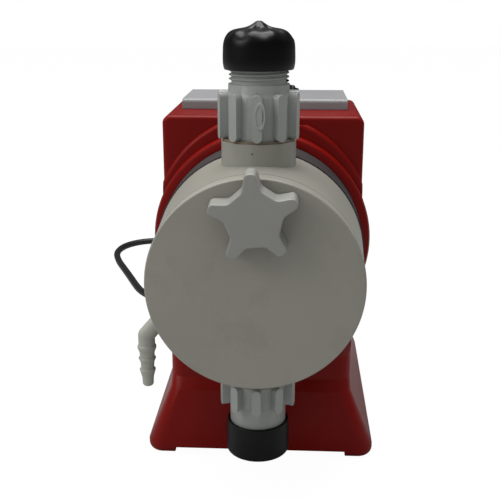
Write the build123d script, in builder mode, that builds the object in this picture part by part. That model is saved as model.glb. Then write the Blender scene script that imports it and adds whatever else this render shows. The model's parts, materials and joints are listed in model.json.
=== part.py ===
from build123d import *
import math
import os

os.makedirs("parts", exist_ok=True)

# A solenoid diaphragm metering pump, standing on its base. Millimetres, +Z up,
# liquid end towards -Y. The origin is the centre of the four fixing holes, at
# the foot of the base. The solenoid, the diaphragm and the liquid end share the
# horizontal drive axis. The two valves share one vertical axis that crosses it.

# ---- driving dimensions --------------------------------------------------
# clearances
FIT = 0.1             # between pieces that are assembled and stay
RUN = 0.05            # radial running clearance of shafts and rods
AIR = 0.3             # between pieces of different moving bodies

# axes
DRIVE_Z = 115.0       # height of the drive axis
VALVE_Y = -95.0       # the valve axis

# liquid end
HEAD_FRONT_R = 47.3
HEAD_REAR_R = 49.4
HEAD_DEPTH = 41.9
HEAD_REAR_Y = -81.9
LIP_R = 44.6          # lip that the cover snaps over
LIP_DEPTH = 3.0
COVER_DEPTH = 8.8
COVER_WALL = 2.6
COVER_EDGE = 0.8
BOSS_R = 16.7         # round bosses that take the valves
BOSS_REACH = 57.2     # from the drive axis to a boss's face
SPIGOT_R = 10.5       # turned end of a valve, inside its boss
SPIGOT_START = 38.0   # from the drive axis
GASKET_T = 1.0
GASKET_R = 16.2
CHANNEL_R = 2.5
CHAMBER_R = 24.0      # pump chamber in front of the diaphragm
CHAMBER_DEPTH = 4.0
CHANNEL_INNER = 14.0  # where the channels turn into the chamber
PORT_R = 2.0

# valves
RIB_START = BOSS_REACH + GASKET_T
RIB_END = 78.2
LOW_RIB_END = 71.2     # the suction valve has shorter grip ribs
RIB_COUNT = 10
RIB_R = 18.2
RIB_W = 4.2
RIB_SINK = 1.0        # how deep a rib starts inside the core
CORE_TAPER = 1.5
VALVE_CORE_R = 14.4
BARREL_R = 13.5
BARREL_END = 81.6
THREAD_R = 13.22      # crest of the G 3/4 pipe thread
VALVE_END = 95.2
BALL_R = 4.75
BALL_LIFT = 2.0
BALL_GAP = 0.1        # the ball rests this far off the edge of its seat
SEAT_T = 4.0
SEAT_BORE_R = 3.5
POCKET_R = 8.0        # pocket for the seat and the cage
CAGE_T = 10.0
CAGE_R = 5.6
CAGE_STOP_R = 4.0
OUTLET_R = 5.0

# protective caps
CAP_WALL = 1.8
TOP_CAP_RIM = 87.8
TOP_CAP_ROOF = 101.0
TOP_CAP_R = 15.75
TOP_CAP_TIP = 108.1
LOW_CAP_RIM = 80.5
LOW_CAP_END = 97.6

# bleed valve
BLEED_Z = 32.5        # above the drive axis
STEM_R = 3.5
NEEDLE_R = 2.45
BLEED_SEAT_R = 1.5
BLEED_SEAT_T = 2.0
BLEED_ROOM_R = 5.0
BLEED_ROOM_END = -109.0
BLEED_OPEN_R = 6.0
BLEED_OPEN_IN = 7.8      # from the face of the lip
STAR_TIP_R = 19.2
STAR_TIP_HALF_W = 2.4
STAR_ROOT_R = 11.8    # where the lobes leave the body
STAR_ROOT_HALF_W = 4.0
STAR_LOBE_FILLET = 2.3
STAR_ROOT_FILLET = 3.5
STAR_T = 11.0
STAR_DRAFT = 2.0      # degrees
STAR_EDGE = 0.6
STAR_LOBES = 5
STAR_TURN = 5.0       # degrees, lobe leaning to the left at rest

# bypass nozzle
NOZZLE_Y = -104.0
NOZZLE_X = -52.3      # the barb's vertical axis
NOZZLE_CORNER_Z = -34.5
NOZZLE_TIP_Z = -60.2
NOZZLE_R = 3.95
NOZZLE_SLOPE = 50.0   # degrees above the horizontal
NOZZLE_BORE_R = 1.6
NOZZLE_SEAT = 17.2    # length of the spigot inside the head, from its axis corner
BARB_R = 4.45
BARB_TIP_R = 2.6

# head screws
HEAD_SCREW_PCR = 40.0
HEAD_SCREW_R = 2.5
HEAD_SCREW_HOLE_R = 2.75
HEAD_SCREW_HEAD_R = 4.25
HEAD_SCREW_HEAD_T = 5.0
HEAD_SCREW_SINK = 6.8    # the seat behind the head's front
HEAD_SCREW_END_Y = -47.0

# backplate and diaphragm
BACKPLATE_R = 50.0
BACKPLATE_REAR_Y = -57.0
DIAPHRAGM_R = 36.0
DIAPHRAGM_RIM_T = 3.2
DIAPHRAGM_WEB_T = 1.8
DIAPHRAGM_HUB_R = 13.0
DIAPHRAGM_HUB_T = 6.0
CORE_R = 10.0
CORE_T = 3.0
WORKING_HOLE_R = 24.0
BACKPLATE_WALL = 5.0
ROD_HOLE_R = 8.0
WEEP_R = 2.0

# drive
STROKE = 1.25
ROD_R = 5.0
ROD_END_Y = 33.0
MAGNET_R = 40.0
MAGNET_WALL = 5.0
MAGNET_FRONT_Y = -53.0
MAGNET_FLANGE_R = 46.0
MAGNET_FLANGE_T = 7.0
MAGNET_REAR_Y = 30.0
BOBBIN_WALL = 1.5
BOBBIN_BORE_R = 18.5
COIL_R = 33.0
ARMATURE_R = 17.5
ARMATURE_FRONT_Y = -20.0
ARMATURE_REAR_Y = 20.0
POLE_R = 18.0
POLE_AIR = 2.75       # left between the armature and the pole at full stroke
POLE_END_Y = ARMATURE_FRONT_Y - STROKE - POLE_AIR
SPRING_R = 8.0
SPRING_WIRE_R = 1.0
SPRING_POCKET_R = 10.5
SPRING_POCKET_Y = -36.0
SPRING_TURNS = 5
BUSH_R = 7.5
BUSH_L = 10.0

# housing
BLOCK_HALF_W = 50.5
BLOCK_TOP_Z = 176.0
BLOCK_FRONT_Y = -50.0
BLOCK_BOTTOM_Z = 62.0
BLOCK_CORNER = 4.0
WAIST_DROP = 2.0
HOUSING_REAR_Y = 80.0
PANEL_RIDGE_Y = 22.0
PANEL_SLOPE = 30.0    # degrees
PEDESTAL_HALF_W = 47.3
PEDESTAL_FRONT_Y = -66.0
PEDESTAL_CORNER = 7.0
PEDESTAL_SHOULDER_Z = 54.0
SKIRT_HALF_W = 59.6
SKIRT_FRONT_Y = -75.0
SKIRT_REAR_Y = 75.0
SKIRT_TOP_Z = 36.0
SKIRT_LEDGE_Z = 41.0
SKIRT_LEAN = 4.0      # how far the front wall leans back
SKIRT_FOOT_Z = 6.0
SKIRT_CORNER = 8.0
FOOT_ROUND = 4.0
FOOT_W = 14.5
FOOT_L = 18.0
FOOT_GAP = 4.0
COLLAR_R = 54.7
COLLAR_FRONT_Y = -60.2
COLLAR_BACK_Y = -44.0
COLLAR_TAPER_Y = -30.0
COLLAR_EDGE = 2.5
COLLAR_SINK = 2.0     # how far the taper ends inside the sides
STEP_Z = 122.3        # the arched step's centre lies above the drive axis
STEP_R = 54.5
STEP_T = 3.4
STEP_EDGE = 2.4
WALL = 3.0
COVER_T = 3.0         # rear cover
BASE_PLATE_T = 3.0

# fixing holes in the feet
FIX_X = 50.0
FIX_Y = 65.0
FIX_R = 2.75
FIX_DEPTH = 14.0

# controls
PANEL_HALF_W = 43.5
PANEL_T = 5.4
PANEL_FRONT_Y = -24.0
PANEL_RIM = 2.0
PANEL_TAIL = 60.0     # length of the panel down the slope
DIAL_DOWN = 28.0      # from the ridge down the slope
DIAL_R = 20.0
DIAL_T = 12.0
DIAL_FLUTES = 24
DIAL_FLUTE_R = 1.6
DIAL_SHAFT_R = 3.0
DIAL_SHAFT_L = 15.0
DIAL_CAM_R = 8.0
DIAL_CAM_T = 4.0
DIAL_CAM_OFF = 2.0
SCALE_R = 24.0
SCALE_T = 0.8
RATE_X = 32.5
RATE_DOWN = 50.0
RATE_R = 8.0
RATE_T = 10.0
RATE_SHAFT_R = 2.0
RATE_BODY_R = 6.0
LED_X = -33.0
LED_DOWN = 38.0
LED_PITCH = 11.0
LED_R = 2.5
LED_RISE = 1.6

# electronics
BOARD_Y = 58.0
BOARD_T = 1.6
BOARD_HALF_W = 40.0
BOARD_LOW_Z = 40.0
BOARD_TOP_Z = 134.0
STANDOFF_R = 3.0

# sockets, blank and gland on the rear cover
SOCKET_Z = 104.0
SOCKET_X = 24.0
SOCKET_R = 8.0
SOCKET_ROOM_R = 5.2
SOCKET_L = 15.0
SOCKET_ROOM = 12.0
SOCKET_NUT_R = 11.0
SOCKET_NUT_T = 3.0
PIN_R = 0.6
PIN_L = 5.0
PIN_RING_R = 2.6
BLANK_Z = 76.0
GLAND_Z = 50.0
GLAND_X = 0.0
GLAND_NUT_R = 10.0
GLAND_NUT_T = 6.0
GLAND_L = 22.0
GLAND_TIP_R = 4.6

# mains lead
CORD_R = 2.9
WOUND_MID_R = 35.0    # wound length, at the middle of its turns
WOUND_X = 4.0
WOUND_Y = 214.0
WOUND_WIDE = 2        # turns beside each other
WOUND_HIGH = 3        # turns on each other
WOUND_LEAD = 22.0     # straight end that leaves the turns
WOUND_HEADING = -58.0 # degrees from +X, of both ends
PLUG_R = 18.5
PLUG_T = 22.0
PLUG_NOSE_L = 16.0
PLUG_NOSE_R = 6.5
PLUG_EDGE = 3.0
PLUG_PIN_R = 2.4
PLUG_PIN_L = 19.0
PLUG_PIN_PITCH = 19.0
TAIL_RUN = 12.0
TAIL_TURN = 19.0      # degrees at each point of the tail

# screws of the housing
M4_R = 2.0
M4_HEAD_R = 3.8
M4_HEAD_T = 2.6

# ---- derived places ------------------------------------------------------
DRIVE_AXIS = Axis((0, 0, DRIVE_Z), (0, 1, 0))
VALVE_AXIS = Axis((0, VALVE_Y, 0), (0, 0, 1))
HEAD_FRONT_Y = HEAD_REAR_Y - HEAD_DEPTH
COVER_FRONT_Y = HEAD_FRONT_Y - COVER_DEPTH
HEAD_SCREW_SEAT_Y = HEAD_FRONT_Y + HEAD_SCREW_SINK
BLEED_AXIS = Axis((0, 0, DRIVE_Z + BLEED_Z), (0, 1, 0))
BLEED_SEAT_Y = VALVE_Y - CHANNEL_R
BLEED_OPEN_END = HEAD_FRONT_Y - LIP_DEPTH + BLEED_OPEN_IN
STAR_BACK_Y = COVER_FRONT_Y - AIR
STAR_FRONT_Y = STAR_BACK_Y - STAR_T
BACKPLATE_FRONT_Y = HEAD_REAR_Y
SLOPE = math.radians(PANEL_SLOPE)
COVER_PLATE_Y = HOUSING_REAR_Y - COVER_T


def across(y):
    """Plane across the drive axis at y, seen from the front."""
    return Plane.XZ.offset(-y)


def drive_profile(*points):
    """Half-section about the drive axis from (y, radius) pairs."""
    with BuildSketch(Plane.YZ) as section:
        with BuildLine():
            Polyline(*[(y, DRIVE_Z + r) for y, r in points], close=True)
        make_face()
    return section.sketch


def bleed_profile(*points):
    """Half-section about the bleed valve's axis from (y, radius) pairs."""
    with BuildSketch(Plane.YZ) as section:
        with BuildLine():
            Polyline(*[(y, DRIVE_Z + BLEED_Z + r) for y, r in points], close=True)
        make_face()
    return section.sketch


def valve_profile(side, *points):
    """Half-section about the valve axis from (radius, reach) pairs.

    The reach is counted from the drive axis, up for side 1 and down for -1.
    """
    with BuildSketch(Plane.YZ) as section:
        with BuildLine():
            Polyline(*[(VALVE_Y + r, DRIVE_Z + side * t) for r, t in points], close=True)
        make_face()
    return section.sketch


def on_slope(x, down, rise=0.0):
    """Plane on the sloping panel, its normal along the panel's own."""
    ridge_z = BLOCK_TOP_Z + PANEL_T
    y = PANEL_RIDGE_Y + down * math.cos(SLOPE) + rise * math.sin(SLOPE)
    z = ridge_z - down * math.sin(SLOPE) + rise * math.cos(SLOPE)
    return Plane(origin=(x, y, z), x_dir=(1, 0, 0), z_dir=(0, math.sin(SLOPE), math.cos(SLOPE)))


# ---- dosing head ---------------------------------------------------------
# One moulding: a drafted drum with a boss above and below for the valves, a
# lip for the cover, the pump chamber at its back and the drilled channels.
VALVE_SIDES = (1, -1)
NOZZLE_ANGLE = math.radians(NOZZLE_SLOPE)
NOZZLE_CORNER = Vector(NOZZLE_X, NOZZLE_Y, DRIVE_Z + NOZZLE_CORNER_Z)
NOZZLE_DIR = Vector(math.cos(NOZZLE_ANGLE), 0, math.sin(NOZZLE_ANGLE))
NOZZLE_PLANE = Plane(origin=NOZZLE_CORNER, x_dir=(0, 1, 0), z_dir=NOZZLE_DIR)
DUCT_END = (DRIVE_Z + BLEED_Z - NOZZLE_CORNER.Z) / math.sin(NOZZLE_ANGLE)

with BuildPart() as dosing_head:
    revolve(
        drive_profile(
            (HEAD_REAR_Y, 0),
            (HEAD_REAR_Y, HEAD_REAR_R),
            (HEAD_FRONT_Y, HEAD_FRONT_R),
            (HEAD_FRONT_Y, LIP_R),
            (HEAD_FRONT_Y - LIP_DEPTH, LIP_R),
            (HEAD_FRONT_Y - LIP_DEPTH, 0),
        ),
        axis=DRIVE_AXIS,
    )
    # bosses
    with BuildSketch(Plane.XY.offset(DRIVE_Z - BOSS_REACH)):
        with Locations((0, VALVE_Y)):
            Circle(BOSS_R)
    extrude(amount=2 * BOSS_REACH)
    split(bisect_by=Plane.XZ.offset(-HEAD_REAR_Y), keep=Keep.TOP)
    # pump chamber
    revolve(
        drive_profile(
            (HEAD_REAR_Y, 0),
            (HEAD_REAR_Y, CHAMBER_R),
            (HEAD_REAR_Y - CHAMBER_DEPTH, CHAMBER_R / 2),
            (HEAD_REAR_Y - CHAMBER_DEPTH, 0),
        ),
        axis=DRIVE_AXIS,
        mode=Mode.SUBTRACT,
    )
    # ports from the chamber to the channels
    with BuildSketch(across(HEAD_REAR_Y)):
        with Locations(*((0, DRIVE_Z + side * CHANNEL_INNER) for side in VALVE_SIDES)):
            Circle(PORT_R)
    extrude(amount=HEAD_REAR_Y - VALVE_Y, mode=Mode.SUBTRACT)
    for side in VALVE_SIDES:
        # socket of the valve and the channel behind it
        revolve(
            valve_profile(
                side,
                (0, CHANNEL_INNER - CHANNEL_R),
                (CHANNEL_R, CHANNEL_INNER - CHANNEL_R),
                (CHANNEL_R, SPIGOT_START),
                (SPIGOT_R + FIT, SPIGOT_START),
                (SPIGOT_R + FIT, BOSS_REACH + 1),
                (0, BOSS_REACH + 1),
            ),
            axis=VALVE_AXIS,
            mode=Mode.SUBTRACT,
        )
    # bleed valve: seat, room, guide and the open end for the seal
    revolve(
        bleed_profile(
            (VALVE_Y, 0),
            (VALVE_Y, BLEED_SEAT_R),
            (BLEED_SEAT_Y - BLEED_SEAT_T, BLEED_SEAT_R),
            (BLEED_SEAT_Y - BLEED_SEAT_T, BLEED_ROOM_R),
            (BLEED_ROOM_END, BLEED_ROOM_R),
            (BLEED_ROOM_END, STEM_R + RUN),
            (BLEED_OPEN_END, STEM_R + RUN),
            (BLEED_OPEN_END, BLEED_OPEN_R),
            (HEAD_FRONT_Y - LIP_DEPTH - 1, BLEED_OPEN_R),
            (HEAD_FRONT_Y - LIP_DEPTH - 1, 0),
        ),
        axis=BLEED_AXIS,
        mode=Mode.SUBTRACT,
    )
    # duct from the bleed valve's room down to the bypass nozzle
    with BuildSketch(NOZZLE_PLANE):
        Circle(NOZZLE_BORE_R)
    extrude(amount=DUCT_END, mode=Mode.SUBTRACT)
    with BuildSketch(NOZZLE_PLANE):
        Circle(NOZZLE_R + FIT)
    extrude(amount=NOZZLE_SEAT, mode=Mode.SUBTRACT)
    # screw holes, counterbored
    for plane_y, radius, depth in (
        (HEAD_REAR_Y, HEAD_SCREW_HOLE_R, HEAD_REAR_Y - HEAD_SCREW_SEAT_Y),
        (HEAD_SCREW_SEAT_Y, HEAD_SCREW_HEAD_R + FIT, HEAD_SCREW_SINK + LIP_DEPTH + 1),
    ):
        with BuildSketch(across(plane_y)):
            with Locations((0, DRIVE_Z)):
                with PolarLocations(HEAD_SCREW_PCR, 4, start_angle=45):
                    Circle(radius)
        extrude(amount=depth, mode=Mode.SUBTRACT)
dosing_head.part.label = "dosing_head"
export_step(dosing_head.part, "parts/dosing_head.step")

with BuildPart() as head_cover:
    revolve(
        drive_profile(
            (COVER_FRONT_Y, 0),
            (COVER_FRONT_Y, HEAD_FRONT_R),
            (HEAD_FRONT_Y, HEAD_FRONT_R),
            (HEAD_FRONT_Y, LIP_R + FIT),
            (COVER_FRONT_Y + COVER_WALL, LIP_R + FIT),
            (COVER_FRONT_Y + COVER_WALL, 0),
        ),
        axis=DRIVE_AXIS,
    )
    front_edge = head_cover.edges().filter_by(GeomType.CIRCLE).group_by(Axis.Y)[0]
    fillet(front_edge, COVER_EDGE)
    with BuildSketch(across(COVER_FRONT_Y)):
        with Locations((0, DRIVE_Z + BLEED_Z)):
            Circle(BLEED_OPEN_R)
    extrude(amount=-COVER_DEPTH, mode=Mode.SUBTRACT)
head_cover.part.label = "head_cover"
export_step(head_cover.part, "parts/head_cover.step")

with BuildPart() as head_screws:
    for plane_y, radius, depth in (
        (HEAD_SCREW_END_Y, HEAD_SCREW_R, HEAD_SCREW_END_Y - HEAD_SCREW_SEAT_Y),
        (HEAD_SCREW_SEAT_Y, HEAD_SCREW_HEAD_R, HEAD_SCREW_HEAD_T),
    ):
        with BuildSketch(across(plane_y)):
            with Locations((0, DRIVE_Z)):
                with PolarLocations(HEAD_SCREW_PCR, 4, start_angle=45):
                    Circle(radius)
        extrude(amount=depth)
    # hexagon sockets
    with BuildSketch(across(HEAD_SCREW_SEAT_Y - HEAD_SCREW_HEAD_T)):
        with Locations((0, DRIVE_Z)):
            with PolarLocations(HEAD_SCREW_PCR, 4, start_angle=45):
                RegularPolygon(HEAD_SCREW_R - FIT, 6, major_radius=False)
    extrude(amount=-HEAD_SCREW_HEAD_T / 2, mode=Mode.SUBTRACT)
head_screws.part.label = "head_screws"
export_step(head_screws.part, "parts/head_screws.step")

# ---- bleed valve ---------------------------------------------------------
STEM_TIP_Y = BLEED_SEAT_Y - BLEED_SEAT_T
NEEDLE_SLOPE = 2 / 3
NEEDLE_FOOT_Y = STEM_TIP_Y - (NEEDLE_R - BLEED_SEAT_R + RUN) / NEEDLE_SLOPE
NEEDLE_NOSE_R = 0.45
NEEDLE_NOSE_Y = STEM_TIP_Y + (BLEED_SEAT_R - RUN - NEEDLE_NOSE_R) / NEEDLE_SLOPE
SEAL_BACK = 0.5          # behind the middle of the guide
SEAL_Y = (BLEED_ROOM_END + BLEED_OPEN_END) / 2 + SEAL_BACK
SEAL_W = 2.0
SEAL_FLOOR_R = 2.6
STEM_NECK_R = 3.0
STEM_NECK_Y = COVER_FRONT_Y + 1.0
STEM_END_Y = STAR_FRONT_Y + 3.0

with BuildPart() as bleed_spindle:
    revolve(
        bleed_profile(
            (NEEDLE_NOSE_Y, 0),
            (NEEDLE_NOSE_Y, NEEDLE_NOSE_R),
            (NEEDLE_FOOT_Y, NEEDLE_R),
            (NEEDLE_FOOT_Y - 3, NEEDLE_R),
            (NEEDLE_FOOT_Y - 4, STEM_R),
            (SEAL_Y + SEAL_W / 2, STEM_R),
            (SEAL_Y + SEAL_W / 2, SEAL_FLOOR_R),
            (SEAL_Y - SEAL_W / 2, SEAL_FLOOR_R),
            (SEAL_Y - SEAL_W / 2, STEM_R),
            (STEM_NECK_Y, STEM_R),
            (STEM_NECK_Y, STEM_NECK_R),
            (STEM_END_Y, STEM_NECK_R),
            (STEM_END_Y, 0),
        ),
        axis=BLEED_AXIS,
    )
bleed_spindle.part.label = "bleed_spindle"
export_step(bleed_spindle.part, "parts/bleed_spindle.step")

with BuildPart() as bleed_seal:
    seal_section = (STEM_R - SEAL_FLOOR_R) / 2
    with BuildSketch(Plane.YZ):
        with Locations((SEAL_Y, DRIVE_Z + BLEED_Z + SEAL_FLOOR_R + seal_section)):
            Circle(seal_section)
    revolve(axis=BLEED_AXIS)
bleed_seal.part.label = "bleed_seal"
export_step(bleed_seal.part, "parts/bleed_seal.step")


def star_outline():
    """Rounded lobes that taper out from the corners of a five-sided body."""
    points = []
    for lobe in range(STAR_LOBES):
        turn = math.radians(90 + STAR_TURN + 360 / STAR_LOBES * lobe)
        for radius, offset in (
            (STAR_ROOT_R, -STAR_ROOT_HALF_W),
            (STAR_TIP_R, -STAR_TIP_HALF_W),
            (STAR_TIP_R, STAR_TIP_HALF_W),
            (STAR_ROOT_R, STAR_ROOT_HALF_W),
        ):
            x = radius * math.cos(turn) - offset * math.sin(turn)
            y = radius * math.sin(turn) + offset * math.cos(turn)
            points.append((x, y))
    middle = (STAR_ROOT_R + STAR_TIP_R) / 2
    with BuildSketch() as star:
        with BuildLine():
            Polyline(*points, close=True)
        make_face()
        tips = star.vertices().filter_by(lambda v: math.hypot(v.X, v.Y) > middle)
        fillet(tips, STAR_LOBE_FILLET)
        roots = star.vertices().filter_by(lambda v: math.hypot(v.X, v.Y) < STAR_ROOT_R + STAR_ROOT_HALF_W / 2)
        fillet(roots, STAR_ROOT_FILLET)
    return star.sketch


with BuildPart() as bleed_knob:
    with BuildSketch(across(STAR_BACK_Y)):
        with Locations((0, DRIVE_Z + BLEED_Z)):
            add(star_outline())
    extrude(amount=STAR_T, taper=STAR_DRAFT)
    star_face_edges = bleed_knob.faces().sort_by(Axis.Y)[0].edges()
    fillet(star_face_edges, STAR_EDGE)
    with BuildSketch(across(STAR_BACK_Y)):
        with Locations((0, DRIVE_Z + BLEED_Z)):
            Circle(STEM_NECK_R + RUN)
    extrude(amount=STAR_BACK_Y - STEM_END_Y + AIR, mode=Mode.SUBTRACT)
bleed_knob.part.label = "bleed_knob"
export_step(bleed_knob.part, "parts/bleed_knob.step")


# ---- valves --------------------------------------------------------------
SPIGOT_END = SPIGOT_START + FIT
STACK_END = SPIGOT_END + SEAT_T + CAGE_T
BALL_REST = math.sqrt(BALL_R**2 - SEAT_BORE_R**2) + BALL_GAP
BALL_STOP = math.sqrt(BALL_R**2 - CAGE_STOP_R**2)
CAGE_ROOM = BALL_REST + BALL_LIFT + BALL_STOP + AIR


def valve_body(side, rib_end):
    """Spigot, grip ribs, barrel and pipe thread, bored for seat and cage."""
    with BuildPart() as body:
        revolve(
            valve_profile(
                side,
                (0, SPIGOT_END),
                (SPIGOT_R, SPIGOT_END),
                (SPIGOT_R, RIB_START),
                (VALVE_CORE_R, RIB_START),
                (VALVE_CORE_R, rib_end - CORE_TAPER),
                (BARREL_R, rib_end),
                (BARREL_R, BARREL_END),
                (THREAD_R, BARREL_END + 0.3),
                (THREAD_R, VALVE_END - 1.0),
                (THREAD_R - 1.0, VALVE_END),
                (0, VALVE_END),
            ),
            axis=VALVE_AXIS,
        )
        rib_centre = DRIVE_Z + side * (RIB_START + rib_end) / 2
        for rib in range(RIB_COUNT):
            turn = math.radians(360 / RIB_COUNT * rib - 90)
            rib_plane = Plane(
                origin=(0, VALVE_Y, rib_centre),
                x_dir=(-math.sin(turn), math.cos(turn), 0),
                z_dir=(math.cos(turn), math.sin(turn), 0),
            )
            with BuildSketch(rib_plane.offset(VALVE_CORE_R - RIB_SINK)):
                SlotOverall(rib_end - RIB_START, RIB_W, rotation=90)
            extrude(amount=RIB_R - VALVE_CORE_R + RIB_SINK)
        revolve(
            valve_profile(
                side,
                (0, SPIGOT_END),
                (POCKET_R + FIT, SPIGOT_END),
                (POCKET_R + FIT, STACK_END),
                (OUTLET_R, STACK_END),
                (OUTLET_R, VALVE_END),
                (0, VALVE_END),
            ),
            axis=VALVE_AXIS,
            mode=Mode.SUBTRACT,
        )
    return body


def valve_seat(side, start):
    """Flat ring whose inner edge the ball closes."""
    with BuildPart() as seat:
        revolve(
            valve_profile(
                side,
                (SEAT_BORE_R, start),
                (POCKET_R, start),
                (POCKET_R, start + SEAT_T),
                (SEAT_BORE_R, start + SEAT_T),
            ),
            axis=VALVE_AXIS,
        )
    return seat


def valve_cage(side, start, room_first):
    """Sleeve round the ball, with the stop that limits its lift."""
    stop_start = start + CAGE_ROOM if room_first else start + CAGE_T - CAGE_ROOM
    near_r, far_r = (CAGE_R, CAGE_STOP_R) if room_first else (CAGE_STOP_R, CAGE_R)
    with BuildPart() as cage:
        revolve(
            valve_profile(
                side,
                (near_r, start),
                (POCKET_R, start),
                (POCKET_R, start + CAGE_T),
                (far_r, start + CAGE_T),
                (far_r, stop_start),
                (near_r, stop_start),
            ),
            axis=VALVE_AXIS,
        )
    return cage


def valve_ball(z):
    """Check ball at rest."""
    with BuildPart() as ball:
        with BuildSketch(Plane.YZ) as half_disc:
            with Locations((VALVE_Y, z)):
                Circle(BALL_R)
            with Locations((VALVE_Y - BALL_R, z)):
                Rectangle(2 * BALL_R, 2 * BALL_R + 1, mode=Mode.SUBTRACT)
        revolve(axis=VALVE_AXIS)
    return ball


def valve_gasket(side):
    """Flat gasket between a boss and the ribs."""
    with BuildPart() as gasket:
        revolve(
            valve_profile(
                side,
                (SPIGOT_R + FIT, BOSS_REACH),
                (GASKET_R, BOSS_REACH),
                (GASKET_R, RIB_START),
                (SPIGOT_R + FIT, RIB_START),
            ),
            axis=VALVE_AXIS,
        )
    return gasket


discharge_valve = valve_body(1, RIB_END)
discharge_valve.part.label = "discharge_valve"
export_step(discharge_valve.part, "parts/discharge_valve.step")

discharge_seat = valve_seat(1, SPIGOT_END)
discharge_seat.part.label = "discharge_seat"
export_step(discharge_seat.part, "parts/discharge_seat.step")

discharge_cage = valve_cage(1, SPIGOT_END + SEAT_T, True)
discharge_cage.part.label = "discharge_cage"
export_step(discharge_cage.part, "parts/discharge_cage.step")

discharge_ball = valve_ball(DRIVE_Z + SPIGOT_END + SEAT_T + BALL_REST)
discharge_ball.part.label = "discharge_ball"
export_step(discharge_ball.part, "parts/discharge_ball.step")

discharge_gasket = valve_gasket(1)
discharge_gasket.part.label = "discharge_gasket"
export_step(discharge_gasket.part, "parts/discharge_gasket.step")

suction_valve = valve_body(-1, LOW_RIB_END)
suction_valve.part.label = "suction_valve"
export_step(suction_valve.part, "parts/suction_valve.step")

suction_cage = valve_cage(-1, SPIGOT_END, False)
suction_cage.part.label = "suction_cage"
export_step(suction_cage.part, "parts/suction_cage.step")

suction_seat = valve_seat(-1, SPIGOT_END + CAGE_T)
suction_seat.part.label = "suction_seat"
export_step(suction_seat.part, "parts/suction_seat.step")

suction_ball = valve_ball(DRIVE_Z - SPIGOT_END - CAGE_T + BALL_REST)
suction_ball.part.label = "suction_ball"
export_step(suction_ball.part, "parts/suction_ball.step")

suction_gasket = valve_gasket(-1)
suction_gasket.part.label = "suction_gasket"
export_step(suction_gasket.part, "parts/suction_gasket.step")

# ---- protective caps -----------------------------------------------------
CAP_BORE_R = THREAD_R + AIR
TOP_CAP_OUTLINE = (
    # (reach from the drive axis, radius)
    (TOP_CAP_RIM, TOP_CAP_R - 0.6),
    (TOP_CAP_RIM + 7.0, TOP_CAP_R),
    (TOP_CAP_TIP - 7.2, TOP_CAP_R - 0.9),
    (TOP_CAP_TIP - 4.6, TOP_CAP_R - 2.9),
    (TOP_CAP_TIP - 3.2, TOP_CAP_R - 6.8),
    (TOP_CAP_TIP - 2.2, 4.6),
    (TOP_CAP_TIP - 0.5, 1.7),
    (TOP_CAP_TIP, 0.0),
)

with BuildPart() as discharge_cap:
    # domed cap with a moulding nipple on top
    with BuildSketch(Plane.YZ) as cap_section:
        with BuildLine():
            outline = [(VALVE_Y + r, DRIVE_Z + reach) for reach, r in TOP_CAP_OUTLINE]
            seat_out = (VALVE_Y + CAP_BORE_R, DRIVE_Z + VALVE_END + AIR)
            seat_in = (VALVE_Y + OUTLET_R, DRIVE_Z + VALVE_END + AIR)
            roof_rim = (VALVE_Y + OUTLET_R, DRIVE_Z + TOP_CAP_ROOF)
            roof = (VALVE_Y, DRIVE_Z + TOP_CAP_ROOF)
            rim_in = (VALVE_Y + CAP_BORE_R, DRIVE_Z + TOP_CAP_RIM)
            Polyline(outline[-1], roof, roof_rim, seat_in, seat_out, rim_in, outline[0])
            Spline(*outline, tangents=((0.4, 1), (-1, 0)))
        make_face()
    revolve(axis=VALVE_AXIS)
discharge_cap.part.label = "discharge_cap"
export_step(discharge_cap.part, "parts/discharge_cap.step")

with BuildPart() as suction_cap:
    # flat-bottomed cup
    revolve(
        valve_profile(
            -1,
            (0, VALVE_END + AIR),
            (CAP_BORE_R, VALVE_END + AIR),
            (CAP_BORE_R, LOW_CAP_RIM),
            (CAP_BORE_R + CAP_WALL - 0.5, LOW_CAP_RIM),
            (CAP_BORE_R + CAP_WALL, LOW_CAP_RIM + 4),
            (CAP_BORE_R + CAP_WALL, LOW_CAP_END),
            (0, LOW_CAP_END),
        ),
        axis=VALVE_AXIS,
    )
    cap_foot_edge = suction_cap.edges().filter_by(GeomType.CIRCLE).group_by(Axis.Z)[0]
    fillet(cap_foot_edge, 1.6)
suction_cap.part.label = "suction_cap"
export_step(suction_cap.part, "parts/suction_cap.step")

# ---- bypass nozzle -------------------------------------------------------
BARB_BORE_R = 1.5
BARB_STEPS = (
    # (distance above the tip, radius)
    (0.0, BARB_TIP_R - 0.5),
    (0.8, BARB_TIP_R),
    (4.4, BARB_TIP_R + 0.2),
    (8.4, 3.9),
    (8.9, 3.1),
    (12.0, 3.3),
    (14.2, 4.2),
    (14.7, 3.5),
    (17.2, 3.6),
    (19.2, BARB_R),
    (20.4, BARB_R),
    (20.9, NOZZLE_R),
)

barb_axis = Axis((NOZZLE_X, NOZZLE_Y, 0), (0, 0, 1))
tip_z = DRIVE_Z + NOZZLE_TIP_Z
corner_z = DRIVE_Z + NOZZLE_CORNER_Z

# round corner between the barb and the arm
with BuildPart() as elbow_ball:
    with BuildSketch(Plane.YZ.offset(NOZZLE_X)):
        with Locations((NOZZLE_Y, corner_z)):
            Circle(NOZZLE_R)
        with Locations((NOZZLE_Y - NOZZLE_R, corner_z)):
            Rectangle(2 * NOZZLE_R, 2 * NOZZLE_R + 1, mode=Mode.SUBTRACT)
    revolve(axis=barb_axis)

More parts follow.
